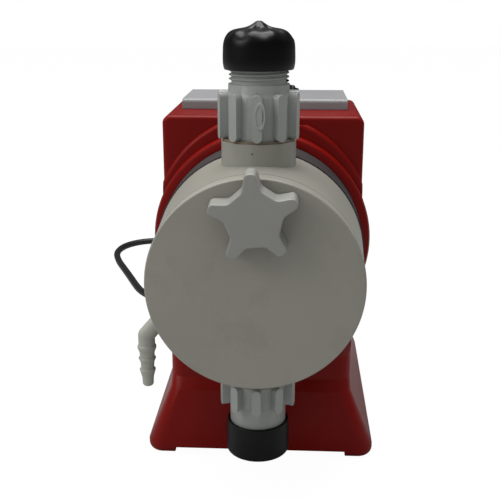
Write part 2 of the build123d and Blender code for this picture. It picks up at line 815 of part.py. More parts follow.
with BuildPart() as hose_nozzle:
    with BuildSketch(Plane.YZ.offset(NOZZLE_X)):
        with BuildLine():
            barb_points = [(NOZZLE_Y + r, tip_z + rise) for rise, r in BARB_STEPS]
            Polyline(
                (NOZZLE_Y, tip_z),
                *barb_points,
                (NOZZLE_Y + NOZZLE_R, corner_z),
                (NOZZLE_Y, corner_z),
                close=True,
            )
        make_face()
    revolve(axis=barb_axis)
    add(elbow_ball.part)
    with BuildSketch(NOZZLE_PLANE):
        Circle(NOZZLE_R)
    extrude(amount=NOZZLE_SEAT - FIT)
    # bore: up the barb and along the arm
    with BuildSketch(Plane.XY.offset(tip_z)):
        with Locations((NOZZLE_X, NOZZLE_Y)):
            Circle(BARB_BORE_R)
    extrude(amount=corner_z - tip_z, mode=Mode.SUBTRACT)
    with BuildSketch(NOZZLE_PLANE):
        Circle(BARB_BORE_R)
    extrude(amount=NOZZLE_SEAT, mode=Mode.SUBTRACT)
hose_nozzle.part.label = "hose_nozzle"
export_step(hose_nozzle.part, "parts/hose_nozzle.step")

# ---- backplate, diaphragm and drive --------------------------------------
DIAPHRAGM_REAR_Y = HEAD_REAR_Y + DIAPHRAGM_RIM_T
DIAPHRAGM_HUB_FRONT_Y = HEAD_REAR_Y - 1.0
CORE_FRONT_Y = DIAPHRAGM_HUB_FRONT_Y + 2.0
CORE_REAR_Y = CORE_FRONT_Y + CORE_T

with BuildPart() as backplate:
    revolve(
        drive_profile(
            (BACKPLATE_FRONT_Y, DIAPHRAGM_R + FIT),
            (BACKPLATE_FRONT_Y, BACKPLATE_R),
            (BACKPLATE_REAR_Y, BACKPLATE_R),
            (BACKPLATE_REAR_Y, ROD_HOLE_R),
            (BACKPLATE_REAR_Y - BACKPLATE_WALL, ROD_HOLE_R),
            (BACKPLATE_REAR_Y - BACKPLATE_WALL, WORKING_HOLE_R - 6),
            (DIAPHRAGM_REAR_Y, WORKING_HOLE_R),
            (DIAPHRAGM_REAR_Y, DIAPHRAGM_R + FIT),
        ),
        axis=DRIVE_AXIS,
    )
    with BuildSketch(across(BACKPLATE_REAR_Y)):
        with Locations((0, DRIVE_Z)):
            with PolarLocations(HEAD_SCREW_PCR, 4, start_angle=45):
                Circle(HEAD_SCREW_HOLE_R)
    extrude(amount=BACKPLATE_REAR_Y - BACKPLATE_FRONT_Y, mode=Mode.SUBTRACT)
    # weep hole, down from the room behind the diaphragm
    with BuildSketch(Plane.XY.offset(DRIVE_Z - BACKPLATE_R)):
        with Locations((0, BACKPLATE_REAR_Y - BACKPLATE_WALL - 2 * WEEP_R)):
            Circle(WEEP_R)
    extrude(amount=BACKPLATE_R - ROD_HOLE_R, mode=Mode.SUBTRACT)
backplate.part.label = "backplate"
export_step(backplate.part, "parts/backplate.step")

with BuildPart() as diaphragm:
    # clamped rim, thin rolling web and thick hub moulded over the core
    hub_rear_y = DIAPHRAGM_HUB_FRONT_Y + DIAPHRAGM_HUB_T
    web_rear_y = DIAPHRAGM_HUB_FRONT_Y + 0.4 + DIAPHRAGM_WEB_T
    rim_in_r = WORKING_HOLE_R + 2
    revolve(
        drive_profile(
            (DIAPHRAGM_HUB_FRONT_Y, 0),
            (DIAPHRAGM_HUB_FRONT_Y, DIAPHRAGM_HUB_R - 1),
            (DIAPHRAGM_HUB_FRONT_Y + 0.4, DIAPHRAGM_HUB_R),
            (HEAD_REAR_Y + 0.6, WORKING_HOLE_R - 4),
            (HEAD_REAR_Y + 0.2, rim_in_r),
            (HEAD_REAR_Y, rim_in_r + 1),
            (HEAD_REAR_Y, DIAPHRAGM_R),
            (DIAPHRAGM_REAR_Y, DIAPHRAGM_R),
            (DIAPHRAGM_REAR_Y, rim_in_r),
            (HEAD_REAR_Y + 0.6 + DIAPHRAGM_WEB_T, WORKING_HOLE_R - 4),
            (web_rear_y, DIAPHRAGM_HUB_R),
            (hub_rear_y, DIAPHRAGM_HUB_R - 1.5),
            (hub_rear_y, ROD_R + FIT),
            (CORE_REAR_Y + FIT, ROD_R + FIT),
            (CORE_REAR_Y + FIT, CORE_R + FIT),
            (CORE_FRONT_Y - FIT, CORE_R + FIT),
            (CORE_FRONT_Y - FIT, 0),
        ),
        axis=DRIVE_AXIS,
    )
diaphragm.part.label = "diaphragm"
export_step(diaphragm.part, "parts/diaphragm.step")

with BuildPart() as push_rod:
    # rod with the disc that the diaphragm is moulded over
    revolve(
        drive_profile(
            (CORE_FRONT_Y, 0),
            (CORE_FRONT_Y, CORE_R),
            (CORE_REAR_Y, CORE_R),
            (CORE_REAR_Y, ROD_R),
            (ROD_END_Y, ROD_R),
            (ROD_END_Y, 0),
        ),
        axis=DRIVE_AXIS,
    )
push_rod.part.label = "push_rod"
export_step(push_rod.part, "parts/push_rod.step")

with BuildPart() as armature:
    revolve(
        drive_profile(
            (ARMATURE_FRONT_Y, ROD_R + RUN),
            (ARMATURE_FRONT_Y, ARMATURE_R - 2),
            (ARMATURE_FRONT_Y + 2, ARMATURE_R),
            (ARMATURE_REAR_Y, ARMATURE_R),
            (ARMATURE_REAR_Y, ROD_R + RUN),
        ),
        axis=DRIVE_AXIS,
    )
armature.part.label = "armature"
export_step(armature.part, "parts/armature.step")

MAGNET_END_Y = MAGNET_REAR_Y - MAGNET_WALL
with BuildPart() as magnet_front:
    # flanged front plate with the fixed pole and the front bush's seat
    revolve(
        drive_profile(
            (MAGNET_FRONT_Y, BUSH_R + FIT),
            (MAGNET_FRONT_Y, MAGNET_FLANGE_R),
            (MAGNET_FRONT_Y + MAGNET_FLANGE_T, MAGNET_FLANGE_R),
            (MAGNET_FRONT_Y + MAGNET_FLANGE_T, POLE_R),
            (POLE_END_Y, POLE_R),
            (POLE_END_Y, SPRING_POCKET_R),
            (SPRING_POCKET_Y, SPRING_POCKET_R),
            (SPRING_POCKET_Y, ROD_R + AIR),
            (MAGNET_FRONT_Y + BUSH_L, ROD_R + AIR),
            (MAGNET_FRONT_Y + BUSH_L, BUSH_R + FIT),
        ),
        axis=DRIVE_AXIS,
    )
    with BuildSketch(across(MAGNET_FRONT_Y + MAGNET_FLANGE_T)):
        with Locations((0, DRIVE_Z)):
            with PolarLocations(HEAD_SCREW_PCR, 4, start_angle=45):
                Circle(HEAD_SCREW_R)
    extrude(amount=MAGNET_FLANGE_T, mode=Mode.SUBTRACT)
magnet_front.part.label = "magnet_front"
export_step(magnet_front.part, "parts/magnet_front.step")

with BuildPart() as magnet_shell:
    # steel cup over the coil, with a boss for the rear bush
    revolve(
        drive_profile(
            (MAGNET_FRONT_Y + MAGNET_FLANGE_T, MAGNET_R - MAGNET_WALL),
            (MAGNET_FRONT_Y + MAGNET_FLANGE_T, MAGNET_R),
            (MAGNET_REAR_Y, MAGNET_R),
            (MAGNET_REAR_Y, BUSH_R + MAGNET_WALL),
            (MAGNET_END_Y + BUSH_L, BUSH_R + MAGNET_WALL),
            (MAGNET_END_Y + BUSH_L, BUSH_R + FIT),
            (MAGNET_END_Y, BUSH_R + FIT),
            (MAGNET_END_Y, MAGNET_R - MAGNET_WALL),
        ),
        axis=DRIVE_AXIS,
    )
magnet_shell.part.label = "magnet_shell"
export_step(magnet_shell.part, "parts/magnet_shell.step")

COIL_FRONT_Y = MAGNET_FRONT_Y + MAGNET_FLANGE_T
with BuildPart() as coil_bobbin:
    flange_r = MAGNET_R - MAGNET_WALL - FIT
    revolve(
        drive_profile(
            (COIL_FRONT_Y, BOBBIN_BORE_R),
            (COIL_FRONT_Y, flange_r),
            (COIL_FRONT_Y + BOBBIN_WALL, flange_r),
            (COIL_FRONT_Y + BOBBIN_WALL, BOBBIN_BORE_R + BOBBIN_WALL),
            (MAGNET_END_Y - BOBBIN_WALL, BOBBIN_BORE_R + BOBBIN_WALL),
            (MAGNET_END_Y - BOBBIN_WALL, flange_r),
            (MAGNET_END_Y, flange_r),
            (MAGNET_END_Y, BOBBIN_BORE_R),
        ),
        axis=DRIVE_AXIS,
    )
coil_bobbin.part.label = "coil_bobbin"
export_step(coil_bobbin.part, "parts/coil_bobbin.step")

with BuildPart() as coil_winding:
    revolve(
        drive_profile(
            (COIL_FRONT_Y + BOBBIN_WALL, BOBBIN_BORE_R + BOBBIN_WALL),
            (COIL_FRONT_Y + BOBBIN_WALL, COIL_R),
            (MAGNET_END_Y - BOBBIN_WALL, COIL_R),
            (MAGNET_END_Y - BOBBIN_WALL, BOBBIN_BORE_R + BOBBIN_WALL),
        ),
        axis=DRIVE_AXIS,
    )
coil_winding.part.label = "coil_winding"
export_step(coil_winding.part, "parts/coil_winding.step")

with BuildPart() as rod_bushes:
    for bush_start in (MAGNET_FRONT_Y, MAGNET_END_Y):
        revolve(
            drive_profile(
                (bush_start, ROD_R + RUN),
                (bush_start, BUSH_R),
                (bush_start + BUSH_L, BUSH_R),
                (bush_start + BUSH_L, ROD_R + RUN),
            ),
            axis=DRIVE_AXIS,
        )
rod_bushes.part.label = "rod_bushes"
export_step(rod_bushes.part, "parts/rod_bushes.step")

with BuildPart() as stop_ring:
    # rubber ring that the armature returns to
    revolve(
        drive_profile(
            (ARMATURE_REAR_Y + AIR, BUSH_R + 2),
            (ARMATURE_REAR_Y + AIR, ARMATURE_R - 1),
            (MAGNET_END_Y, ARMATURE_R - 1),
            (MAGNET_END_Y, BUSH_R + 2),
        ),
        axis=DRIVE_AXIS,
    )
stop_ring.part.label = "stop_ring"
export_step(stop_ring.part, "parts/stop_ring.step")

SPRING_L = ARMATURE_FRONT_Y - SPRING_POCKET_Y - 2 * SPRING_WIRE_R - 2 * FIT
with BuildPart() as return_spring:
    with BuildLine():
        spring_line = Helix(
            pitch=SPRING_L / SPRING_TURNS,
            height=SPRING_L,
            radius=SPRING_R,
            center=(0, SPRING_POCKET_Y + SPRING_WIRE_R + FIT, DRIVE_Z),
            direction=(0, 1, 0),
        )
    with BuildSketch(Plane(origin=spring_line @ 0, z_dir=spring_line % 0)):
        Circle(SPRING_WIRE_R)
    sweep(is_frenet=True)
return_spring.part.label = "return_spring"
export_step(return_spring.part, "parts/return_spring.step")


# ---- housing -------------------------------------------------------------
def slope_z(y, depth):
    """Height of the plane that lies depth under the sloping panel's top."""
    ridge_z = BLOCK_TOP_Z + PANEL_T
    return ridge_z - (y - PANEL_RIDGE_Y) * math.tan(SLOPE) - depth / math.cos(SLOPE)


def slope_y(z, depth):
    """Where that plane is at height z."""
    ridge_z = BLOCK_TOP_Z + PANEL_T
    return PANEL_RIDGE_Y + (ridge_z - depth / math.cos(SLOPE) - z) / math.tan(SLOPE)


SHELL_FRONT_Y = BLOCK_FRONT_Y + WALL
TOE_TOP_Z = BLOCK_BOTTOM_Z + 3.0
SIDE_STEP_Z = BLOCK_BOTTOM_Z + 6.0

# toe under the liquid end
with BuildPart() as toe:
    with BuildSketch(Plane.YZ.offset(-PEDESTAL_HALF_W)):
        with BuildLine():
            Polyline(
                (PEDESTAL_FRONT_Y, SKIRT_TOP_Z),
                (PEDESTAL_FRONT_Y, PEDESTAL_SHOULDER_Z),
                (BLOCK_FRONT_Y, TOE_TOP_Z),
                (0, TOE_TOP_Z),
                (0, SKIRT_TOP_Z),
                close=True,
            )
        make_face()
    extrude(amount=2 * PEDESTAL_HALF_W)
    toe_corners = toe.edges().filter_by(Axis.Z).group_by(Axis.Y)[0]
    fillet(toe_corners, PEDESTAL_CORNER)

# straight foot of the skirt
skirt_mid_y = (SKIRT_FRONT_Y + SKIRT_REAR_Y) / 2
with BuildPart() as foot:
    with BuildSketch():
        with Locations((0, skirt_mid_y)):
            RectangleRounded(2 * SKIRT_HALF_W, SKIRT_REAR_Y - SKIRT_FRONT_Y, SKIRT_CORNER)
    extrude(amount=SKIRT_FOOT_Z)
    foot_edges = foot.faces().sort_by(Axis.Z)[0].edges()
    fillet(foot_edges, FOOT_ROUND)

# arched step behind the collar, no wider than the block and below its top
with BuildPart() as step_arch:
    with BuildSketch(across(BLOCK_FRONT_Y + WALL)):
        with Locations((0, STEP_Z)):
            Circle(STEP_R)
    extrude(amount=WALL + STEP_T)
    fillet(step_arch.faces().sort_by(Axis.Y)[0].edges(), STEP_EDGE)
    step_low = DRIVE_Z - COLLAR_R + COLLAR_EDGE
    step_high = BLOCK_TOP_Z - BLOCK_CORNER
    with BuildSketch(across(BLOCK_FRONT_Y + WALL)):
        with Locations((0, (step_low + step_high) / 2)):
            Rectangle(2 * BLOCK_HALF_W, step_high - step_low)
    extrude(amount=WALL + STEP_T, mode=Mode.INTERSECT)

# The outer form, moulded as one body: an upright block with a sloping rear
# top, a round collar that carries the liquid end, a narrower pedestal with a
# toe under the head, and a skirt that flares out to the feet.
with BuildPart() as housing_form:
    with BuildSketch(across(BLOCK_FRONT_Y)) as block_outline:
        with BuildLine():
            Polyline(
                (PEDESTAL_HALF_W, SKIRT_TOP_Z),
                (PEDESTAL_HALF_W, BLOCK_BOTTOM_Z - WAIST_DROP),
                (BLOCK_HALF_W, SIDE_STEP_Z),
                (BLOCK_HALF_W, BLOCK_TOP_Z),
                (-BLOCK_HALF_W, BLOCK_TOP_Z),
                (-BLOCK_HALF_W, SIDE_STEP_Z),
                (-PEDESTAL_HALF_W, BLOCK_BOTTOM_Z - WAIST_DROP),
                (-PEDESTAL_HALF_W, SKIRT_TOP_Z),
                close=True,
            )
        make_face()
        fillet(block_outline.vertices().group_by(Axis.Y)[-1], BLOCK_CORNER)
    extrude(amount=-(HOUSING_REAR_Y - BLOCK_FRONT_Y))
    front_rim = housing_form.faces().sort_by(Axis.Y)[0].edges().filter_by(
        lambda e: e.center().Z > DRIVE_Z
    )
    fillet(front_rim, BLOCK_CORNER / 2)
    add(toe.part)
    # skirt in two ruled sections above the straight foot
    sections = (
        (SKIRT_FOOT_Z, SKIRT_HALF_W, SKIRT_FRONT_Y, SKIRT_REAR_Y, SKIRT_CORNER),
        (SKIRT_TOP_Z, PEDESTAL_HALF_W, SKIRT_FRONT_Y + SKIRT_LEAN, SKIRT_REAR_Y, PEDESTAL_CORNER),
        (SKIRT_LEDGE_Z, PEDESTAL_HALF_W, PEDESTAL_FRONT_Y, SKIRT_REAR_Y, PEDESTAL_CORNER),
    )
    for height, half_w, front_y, rear_y, corner in sections:
        with BuildSketch(Plane.XY.offset(height)):
            with Locations((0, (front_y + rear_y) / 2)):
                RectangleRounded(2 * half_w, rear_y - front_y, corner)
    loft(ruled=True)
    add(foot.part)
    # collar, its rear tapering back into the block's sides
    revolve(
        drive_profile(
            (COLLAR_FRONT_Y, 0),
            (COLLAR_FRONT_Y, COLLAR_R - COLLAR_EDGE),
            (COLLAR_FRONT_Y + COLLAR_EDGE * 0.3, COLLAR_R - COLLAR_EDGE * 0.3),
            (COLLAR_FRONT_Y + COLLAR_EDGE, COLLAR_R),
            (COLLAR_BACK_Y, COLLAR_R),
            (COLLAR_TAPER_Y, BLOCK_HALF_W - COLLAR_SINK),
            (COLLAR_TAPER_Y, 0),
        ),
        axis=DRIVE_AXIS,
    )
    add(step_arch.part)
    # sloping rear top
    with BuildSketch(Plane.YZ.offset(-BLOCK_HALF_W - 1)):
        with BuildLine():
            Polyline(
                (slope_y(BLOCK_TOP_Z + 1, PANEL_T), BLOCK_TOP_Z + 1),
                (HOUSING_REAR_Y + 1, slope_z(HOUSING_REAR_Y + 1, PANEL_T)),
                (HOUSING_REAR_Y + 1, BLOCK_TOP_Z + 1),
                close=True,
            )
        make_face()
    extrude(amount=2 * BLOCK_HALF_W + 2, mode=Mode.SUBTRACT)

BOARD_SCREW_X = 32.0
BOARD_SCREW_Z = (BOARD_LOW_Z + 8.0, BOARD_TOP_Z - 8.0)
COVER_SCREWS = (
    # (x, z)
    (-PEDESTAL_HALF_W + 6.5, 50.0),
    (PEDESTAL_HALF_W - 6.5, 50.0),
    (-BLOCK_HALF_W + 6.0, 128.0),
    (BLOCK_HALF_W - 6.0, 128.0),
)
POST_R = 5.0
POST_L = 17.0
PLATE_X = PEDESTAL_HALF_W - WALL
PLATE_FRONT_Y = PEDESTAL_FRONT_Y + WALL
PLATE_REAR_Y = SKIRT_REAR_Y - WALL
PLATE_SCREW_IN = POST_R - 0.8     # the posts run into the side walls
PLATE_SCREWS = (
    (-PLATE_X + PLATE_SCREW_IN, PLATE_FRONT_Y + PLATE_SCREW_IN),
    (PLATE_X - PLATE_SCREW_IN, PLATE_FRONT_Y + PLATE_SCREW_IN),
    (-PLATE_X + PLATE_SCREW_IN, PLATE_REAR_Y - PLATE_SCREW_IN),
    (PLATE_X - PLATE_SCREW_IN, PLATE_REAR_Y - PLATE_SCREW_IN),
)
PLATE_POST_L = 18.0
TAP_R = M4_R - 0.3
FIX_POINTS = ((-FIX_X, -FIX_Y), (FIX_X, -FIX_Y), (-FIX_X, FIX_Y), (FIX_X, FIX_Y))
DIAL_HOLE_R = DIAL_SHAFT_R + RUN
RATE_HOLE_R = RATE_BODY_R + FIT
LED_DOWNS = (LED_DOWN - LED_PITCH, LED_DOWN, LED_DOWN + LED_PITCH)


def cavity_section():
    """Inside of the block, in the YZ plane, from the pedestal to the slope."""
    depth = PANEL_T + WALL
    top = BLOCK_TOP_Z - WALL
    with BuildSketch(Plane.YZ) as section:
        with BuildLine():
            Polyline(
                (SHELL_FRONT_Y, BLOCK_BOTTOM_Z),
                (SHELL_FRONT_Y, top),
                (slope_y(top, depth), top),
                (COVER_PLATE_Y, slope_z(COVER_PLATE_Y, depth)),
                (COVER_PLATE_Y, BLOCK_BOTTOM_Z),
                close=True,
            )
        make_face()
    return section.sketch


with BuildPart() as drive_housing:
    add(housing_form.part)
    split(bisect_by=Plane.XZ.offset(-COVER_PLATE_Y), keep=Keep.TOP)
    # rooms inside: the block, the pedestal and its toe
    extrude(cavity_section(), amount=BLOCK_HALF_W - WALL, both=True, mode=Mode.SUBTRACT)
    with BuildSketch(Plane.XY):
        with Locations((0, (PLATE_FRONT_Y + PLATE_REAR_Y) / 2)):
            Rectangle(2 * PLATE_X, PLATE_REAR_Y - PLATE_FRONT_Y)
    extrude(amount=SKIRT_LEDGE_Z, mode=Mode.SUBTRACT)
    with BuildSketch(Plane.XY.offset(SKIRT_LEDGE_Z)):
        with Locations((0, (SHELL_FRONT_Y + COVER_PLATE_Y) / 2)):
            Rectangle(2 * PLATE_X, COVER_PLATE_Y - SHELL_FRONT_Y)
    extrude(amount=BLOCK_BOTTOM_Z - SKIRT_LEDGE_Z + 1, mode=Mode.SUBTRACT)
    # seats of the backplate and of the magnet, either side of the front wall
    revolve(
        drive_profile(
            (COLLAR_FRONT_Y - 1, 0),
            (COLLAR_FRONT_Y - 1, BACKPLATE_R + FIT),
            (BACKPLATE_REAR_Y, BACKPLATE_R + FIT),
            (BACKPLATE_REAR_Y, ROD_HOLE_R),
            (MAGNET_FRONT_Y, ROD_HOLE_R),
            (MAGNET_FRONT_Y, MAGNET_FLANGE_R + FIT),
            (SHELL_FRONT_Y + 1, MAGNET_FLANGE_R + FIT),
            (SHELL_FRONT_Y + 1, 0),
        ),
        axis=DRIVE_AXIS,
        mode=Mode.SUBTRACT,
    )
    with BuildSketch(across(MAGNET_FRONT_Y)):
        with Locations((0, DRIVE_Z)):
            with PolarLocations(HEAD_SCREW_PCR, 4, start_angle=45):
                Circle(HEAD_SCREW_HOLE_R)
    extrude(amount=MAGNET_FRONT_Y - BACKPLATE_REAR_Y, mode=Mode.SUBTRACT)
    # screw posts
    with BuildSketch(across(COVER_PLATE_Y)):
        with Locations(*COVER_SCREWS):
            Circle(POST_R)
    extrude(amount=POST_L)
    with BuildSketch(Plane.XY.offset(FOOT_GAP + BASE_PLATE_T)):
        with Locations(*PLATE_SCREWS):
            Circle(POST_R)
    extrude(amount=PLATE_POST_L)
    with BuildSketch(across(COVER_PLATE_Y)):
        with Locations(*COVER_SCREWS):
            Circle(TAP_R)
    extrude(amount=POST_L - WALL, mode=Mode.SUBTRACT)
    with BuildSketch(Plane.XY.offset(FOOT_GAP + BASE_PLATE_T)):
        with Locations(*PLATE_SCREWS):
            Circle(TAP_R)
    extrude(amount=PLATE_POST_L - WALL, mode=Mode.SUBTRACT)
    # underside raised between four feet
    foot_span_x = 2 * (SKIRT_HALF_W - FOOT_W)
    foot_span_y = SKIRT_REAR_Y - SKIRT_FRONT_Y - 2 * FOOT_L
    with BuildSketch(Plane.XY):
        with Locations((0, skirt_mid_y)):
            Rectangle(foot_span_x, SKIRT_REAR_Y - SKIRT_FRONT_Y + 2)
            Rectangle(2 * SKIRT_HALF_W + 2, foot_span_y)
    extrude(amount=FOOT_GAP, mode=Mode.SUBTRACT)
    # fixing holes in the feet
    with BuildSketch(Plane.XY):
        with Locations(*FIX_POINTS):
            Circle(FIX_R)
    extrude(amount=FIX_DEPTH, mode=Mode.SUBTRACT)
    # holes for the dial's shaft, the switch and the lamps
    for x, down, radius in (
        (0, DIAL_DOWN, DIAL_HOLE_R),
        (RATE_X, RATE_DOWN, RATE_HOLE_R),
        *((LED_X, led_down, LED_R + FIT) for led_down in LED_DOWNS),
    ):
        with BuildSketch(on_slope(x, down)):
            Circle(radius)
        extrude(amount=-(PANEL_T + WALL + 2), mode=Mode.SUBTRACT)
drive_housing.part.label = "drive_housing"
export_step(drive_housing.part, "parts/drive_housing.step")

CONTROL_PIN_COUNT = 5
LEVEL_PIN_COUNT = 4
with BuildPart() as rear_cover:
    add(housing_form.part)
    split(bisect_by=Plane.XZ.offset(-COVER_PLATE_Y), keep=Keep.BOTTOM)
    with BuildSketch(across(HOUSING_REAR_Y)):
        with Locations(*COVER_SCREWS):
            Circle(M4_R + FIT)
        with Locations(*((x, SOCKET_Z) for x in (-SOCKET_X, SOCKET_X))):
            Circle(SOCKET_R + FIT)
        with Locations((0, BLANK_Z)):
            Circle(SOCKET_R + FIT)
        with Locations((GLAND_X, GLAND_Z)):
            Circle(GLAND_NUT_R - 3 + FIT)
    extrude(amount=COVER_T, mode=Mode.SUBTRACT)
rear_cover.part.label = "rear_cover"
export_step(rear_cover.part, "parts/rear_cover.step")

with BuildPart() as base_plate:
    with BuildSketch(Plane.XY.offset(FOOT_GAP)):
        with Locations((0, (PLATE_FRONT_Y + PLATE_REAR_Y) / 2)):
            Rectangle(2 * (PLATE_X - FIT), PLATE_REAR_Y - PLATE_FRONT_Y - 2 * FIT)
        with Locations(*PLATE_SCREWS):
            Circle(M4_R + FIT, mode=Mode.SUBTRACT)
    extrude(amount=BASE_PLATE_T)
    # stiffening ribs on the inside
    with BuildSketch(Plane.XY.offset(FOOT_GAP + BASE_PLATE_T)):
        with GridLocations(24, 0, 3, 1):
            Rectangle(2, PLATE_REAR_Y - PLATE_FRONT_Y - 24)
    extrude(amount=3)
base_plate.part.label = "base_plate"
export_step(base_plate.part, "parts/base_plate.step")

with BuildPart() as base_screws:
    with BuildSketch(Plane.XY.offset(FOOT_GAP)):
        with Locations(*PLATE_SCREWS):
            Circle(M4_HEAD_R)
    extrude(amount=-M4_HEAD_T)
    with BuildSketch(Plane.XY.offset(FOOT_GAP)):
        with Locations(*PLATE_SCREWS):
            Circle(TAP_R)
    extrude(amount=BASE_PLATE_T + PLATE_POST_L - WALL - 2)
base_screws.part.label = "base_screws"
export_step(base_screws.part, "parts/base_screws.step")

with BuildPart() as cover_screws:
    with BuildSketch(across(HOUSING_REAR_Y)):
        with Locations(*COVER_SCREWS):
            Circle(M4_HEAD_R)
    extrude(amount=-M4_HEAD_T)
    cover_screw_rims = cover_screws.faces().filter_by(Axis.Y).group_by(Axis.Y)[-1].edges()
    fillet(cover_screw_rims, 0.8)
    with BuildSketch(across(HOUSING_REAR_Y)):
        with Locations(*COVER_SCREWS):
            Circle(TAP_R)
    extrude(amount=COVER_T + POST_L - WALL - 2)
    with BuildSketch(across(HOUSING_REAR_Y + M4_HEAD_T)):
        with Locations(*COVER_SCREWS):
            Rectangle(4.2, 1.0)
            Rectangle(1.0, 4.2)
    extrude(amount=1.4, mode=Mode.SUBTRACT)
cover_screws.part.label = "cover_screws"
export_step(cover_screws.part, "parts/cover_screws.step")

# ---- controls ------------------------------------------------------------
with BuildPart() as control_panel:
    # raised panel that follows the top and the slope
    tail_y = PANEL_RIDGE_Y + PANEL_TAIL * math.cos(SLOPE)
    with BuildSketch(Plane.YZ.offset(-PANEL_HALF_W)):
        with BuildLine():
            Polyline(
                (PANEL_FRONT_Y, BLOCK_TOP_Z),
                (PANEL_FRONT_Y, BLOCK_TOP_Z + PANEL_T),
                (PANEL_RIDGE_Y, BLOCK_TOP_Z + PANEL_T),
                (tail_y, slope_z(tail_y, 0)),
                (tail_y - PANEL_T * math.sin(SLOPE), slope_z(tail_y, 0) - PANEL_T * math.cos(SLOPE)),
                (slope_y(BLOCK_TOP_Z, PANEL_T), BLOCK_TOP_Z),
                close=True,
            )
        make_face()
    extrude(amount=2 * PANEL_HALF_W)
    panel_rim = control_panel.edges().filter_by(Axis.X).group_by(Axis.Y)[0].sort_by(Axis.Z)[-1]
    fillet(panel_rim, PANEL_RIM)
    for x, down, radius in (
        (0, DIAL_DOWN, DIAL_HOLE_R),
        (RATE_X, RATE_DOWN, RATE_HOLE_R),
        *((LED_X, led_down, LED_R + FIT) for led_down in LED_DOWNS),
    ):
        with BuildSketch(on_slope(x, down)):
            Circle(radius)
        extrude(amount=-(PANEL_T + 2), mode=Mode.SUBTRACT)
control_panel.part.label = "control_panel"
export_step(control_panel.part, "parts/control_panel.step")

with BuildPart() as dial_scale:
    with BuildSketch(on_slope(0, DIAL_DOWN)):
        Circle(SCALE_R)
        Circle(DIAL_R + AIR, mode=Mode.SUBTRACT)
    extrude(amount=SCALE_T)
dial_scale.part.label = "dial_scale"
export_step(dial_scale.part, "parts/dial_scale.step")

with BuildPart() as stroke_dial:
    # fluted knob with a raised pointer bar
    with BuildSketch(on_slope(0, DIAL_DOWN, AIR)):
        Circle(DIAL_R)
        with PolarLocations(DIAL_R + DIAL_FLUTE_R * 0.4, DIAL_FLUTES):
            Circle(DIAL_FLUTE_R, mode=Mode.SUBTRACT)
    extrude(amount=DIAL_T - AIR - 2, taper=3)
    with BuildSketch(on_slope(0, DIAL_DOWN, DIAL_T - 2)):
        RectangleRounded(7, 1.66 * DIAL_R, 3)
    extrude(amount=2)
stroke_dial.part.label = "stroke_dial"
export_step(stroke_dial.part, "parts/stroke_dial.step")

with BuildPart() as dial_shaft:
    with BuildSketch(on_slope(0, DIAL_DOWN, AIR)):
        Circle(DIAL_SHAFT_R)
    extrude(amount=-DIAL_SHAFT_L)
    # stop disc with a nose, under the housing's top
    with BuildSketch(on_slope(0, DIAL_DOWN, AIR - DIAL_SHAFT_L)):
        Circle(DIAL_CAM_R)
        with Locations((0, DIAL_CAM_R)):
            Rectangle(DIAL_CAM_T, DIAL_CAM_OFF * 2)
    extrude(amount=DIAL_CAM_T)
dial_shaft.part.label = "dial_shaft"
export_step(dial_shaft.part, "parts/dial_shaft.step")

with BuildPart() as rate_knob:
    with BuildSketch(on_slope(RATE_X, RATE_DOWN, AIR)):
        Circle(RATE_R)
    extrude(amount=3)
    with BuildSketch(on_slope(RATE_X, RATE_DOWN, AIR + 3)):
        RectangleRounded(4.5, 2 * RATE_R - 1, 1.5)
    extrude(amount=RATE_T - AIR - 3)
    with BuildSketch(on_slope(RATE_X, RATE_DOWN, AIR)):
        Circle(RATE_SHAFT_R)
    extrude(amount=-PANEL_T)
rate_knob.part.label = "rate_knob"
export_step(rate_knob.part, "parts/rate_knob.step")

with BuildPart() as rate_switch:
    with BuildSketch(on_slope(RATE_X, RATE_DOWN)):
        Circle(RATE_BODY_R)
        Circle(RATE_SHAFT_R + RUN, mode=Mode.SUBTRACT)
    extrude(amount=-(PANEL_T + WALL))
    with BuildSketch(on_slope(RATE_X, RATE_DOWN, -(PANEL_T + WALL))):
        Rectangle(14, 14)
    extrude(amount=-7)
rate_switch.part.label = "rate_switch"
export_step(rate_switch.part, "parts/rate_switch.step")


def lamp(down):
    """Lamp lens: a domed pin through the panel and the housing's top."""
    with BuildPart() as lens:
        with BuildSketch(on_slope(LED_X, down, LED_RISE)):
            Circle(LED_R)
        extrude(amount=-(LED_RISE + PANEL_T + WALL))
        lens_rim = lens.edges().filter_by(GeomType.CIRCLE).sort_by(Axis.Z)[-1]
        fillet(lens_rim, 1.2)
    return lens


lamp_green = lamp(LED_DOWNS[0])
lamp_green.part.label = "lamp_green"
export_step(lamp_green.part, "parts/lamp_green.step")

lamp_yellow = lamp(LED_DOWNS[1])
lamp_yellow.part.label = "lamp_yellow"
export_step(lamp_yellow.part, "parts/lamp_yellow.step")

lamp_red = lamp(LED_DOWNS[2])
lamp_red.part.label = "lamp_red"
export_step(lamp_red.part, "parts/lamp_red.step")

# ---- electronics ---------------------------------------------------------
STANDOFFS = [(x, z) for x in (-BOARD_SCREW_X, BOARD_SCREW_X) for z in BOARD_SCREW_Z]
with BuildPart() as circuit_board:
    with BuildSketch(across(BOARD_Y)):
        with Locations((0, (BOARD_LOW_Z + BOARD_TOP_Z) / 2)):
            Rectangle(2 * BOARD_HALF_W, BOARD_TOP_Z - BOARD_LOW_Z)
    extrude(amount=BOARD_T)
circuit_board.part.label = "circuit_board"
export_step(circuit_board.part, "parts/circuit_board.step")

with BuildPart() as board_standoffs:
    with BuildSketch(across(COVER_PLATE_Y)):
        with Locations(*STANDOFFS):
            Circle(STANDOFF_R)
    extrude(amount=COVER_PLATE_Y - BOARD_Y)
board_standoffs.part.label = "board_standoffs"
export_step(board_standoffs.part, "parts/board_standoffs.step")

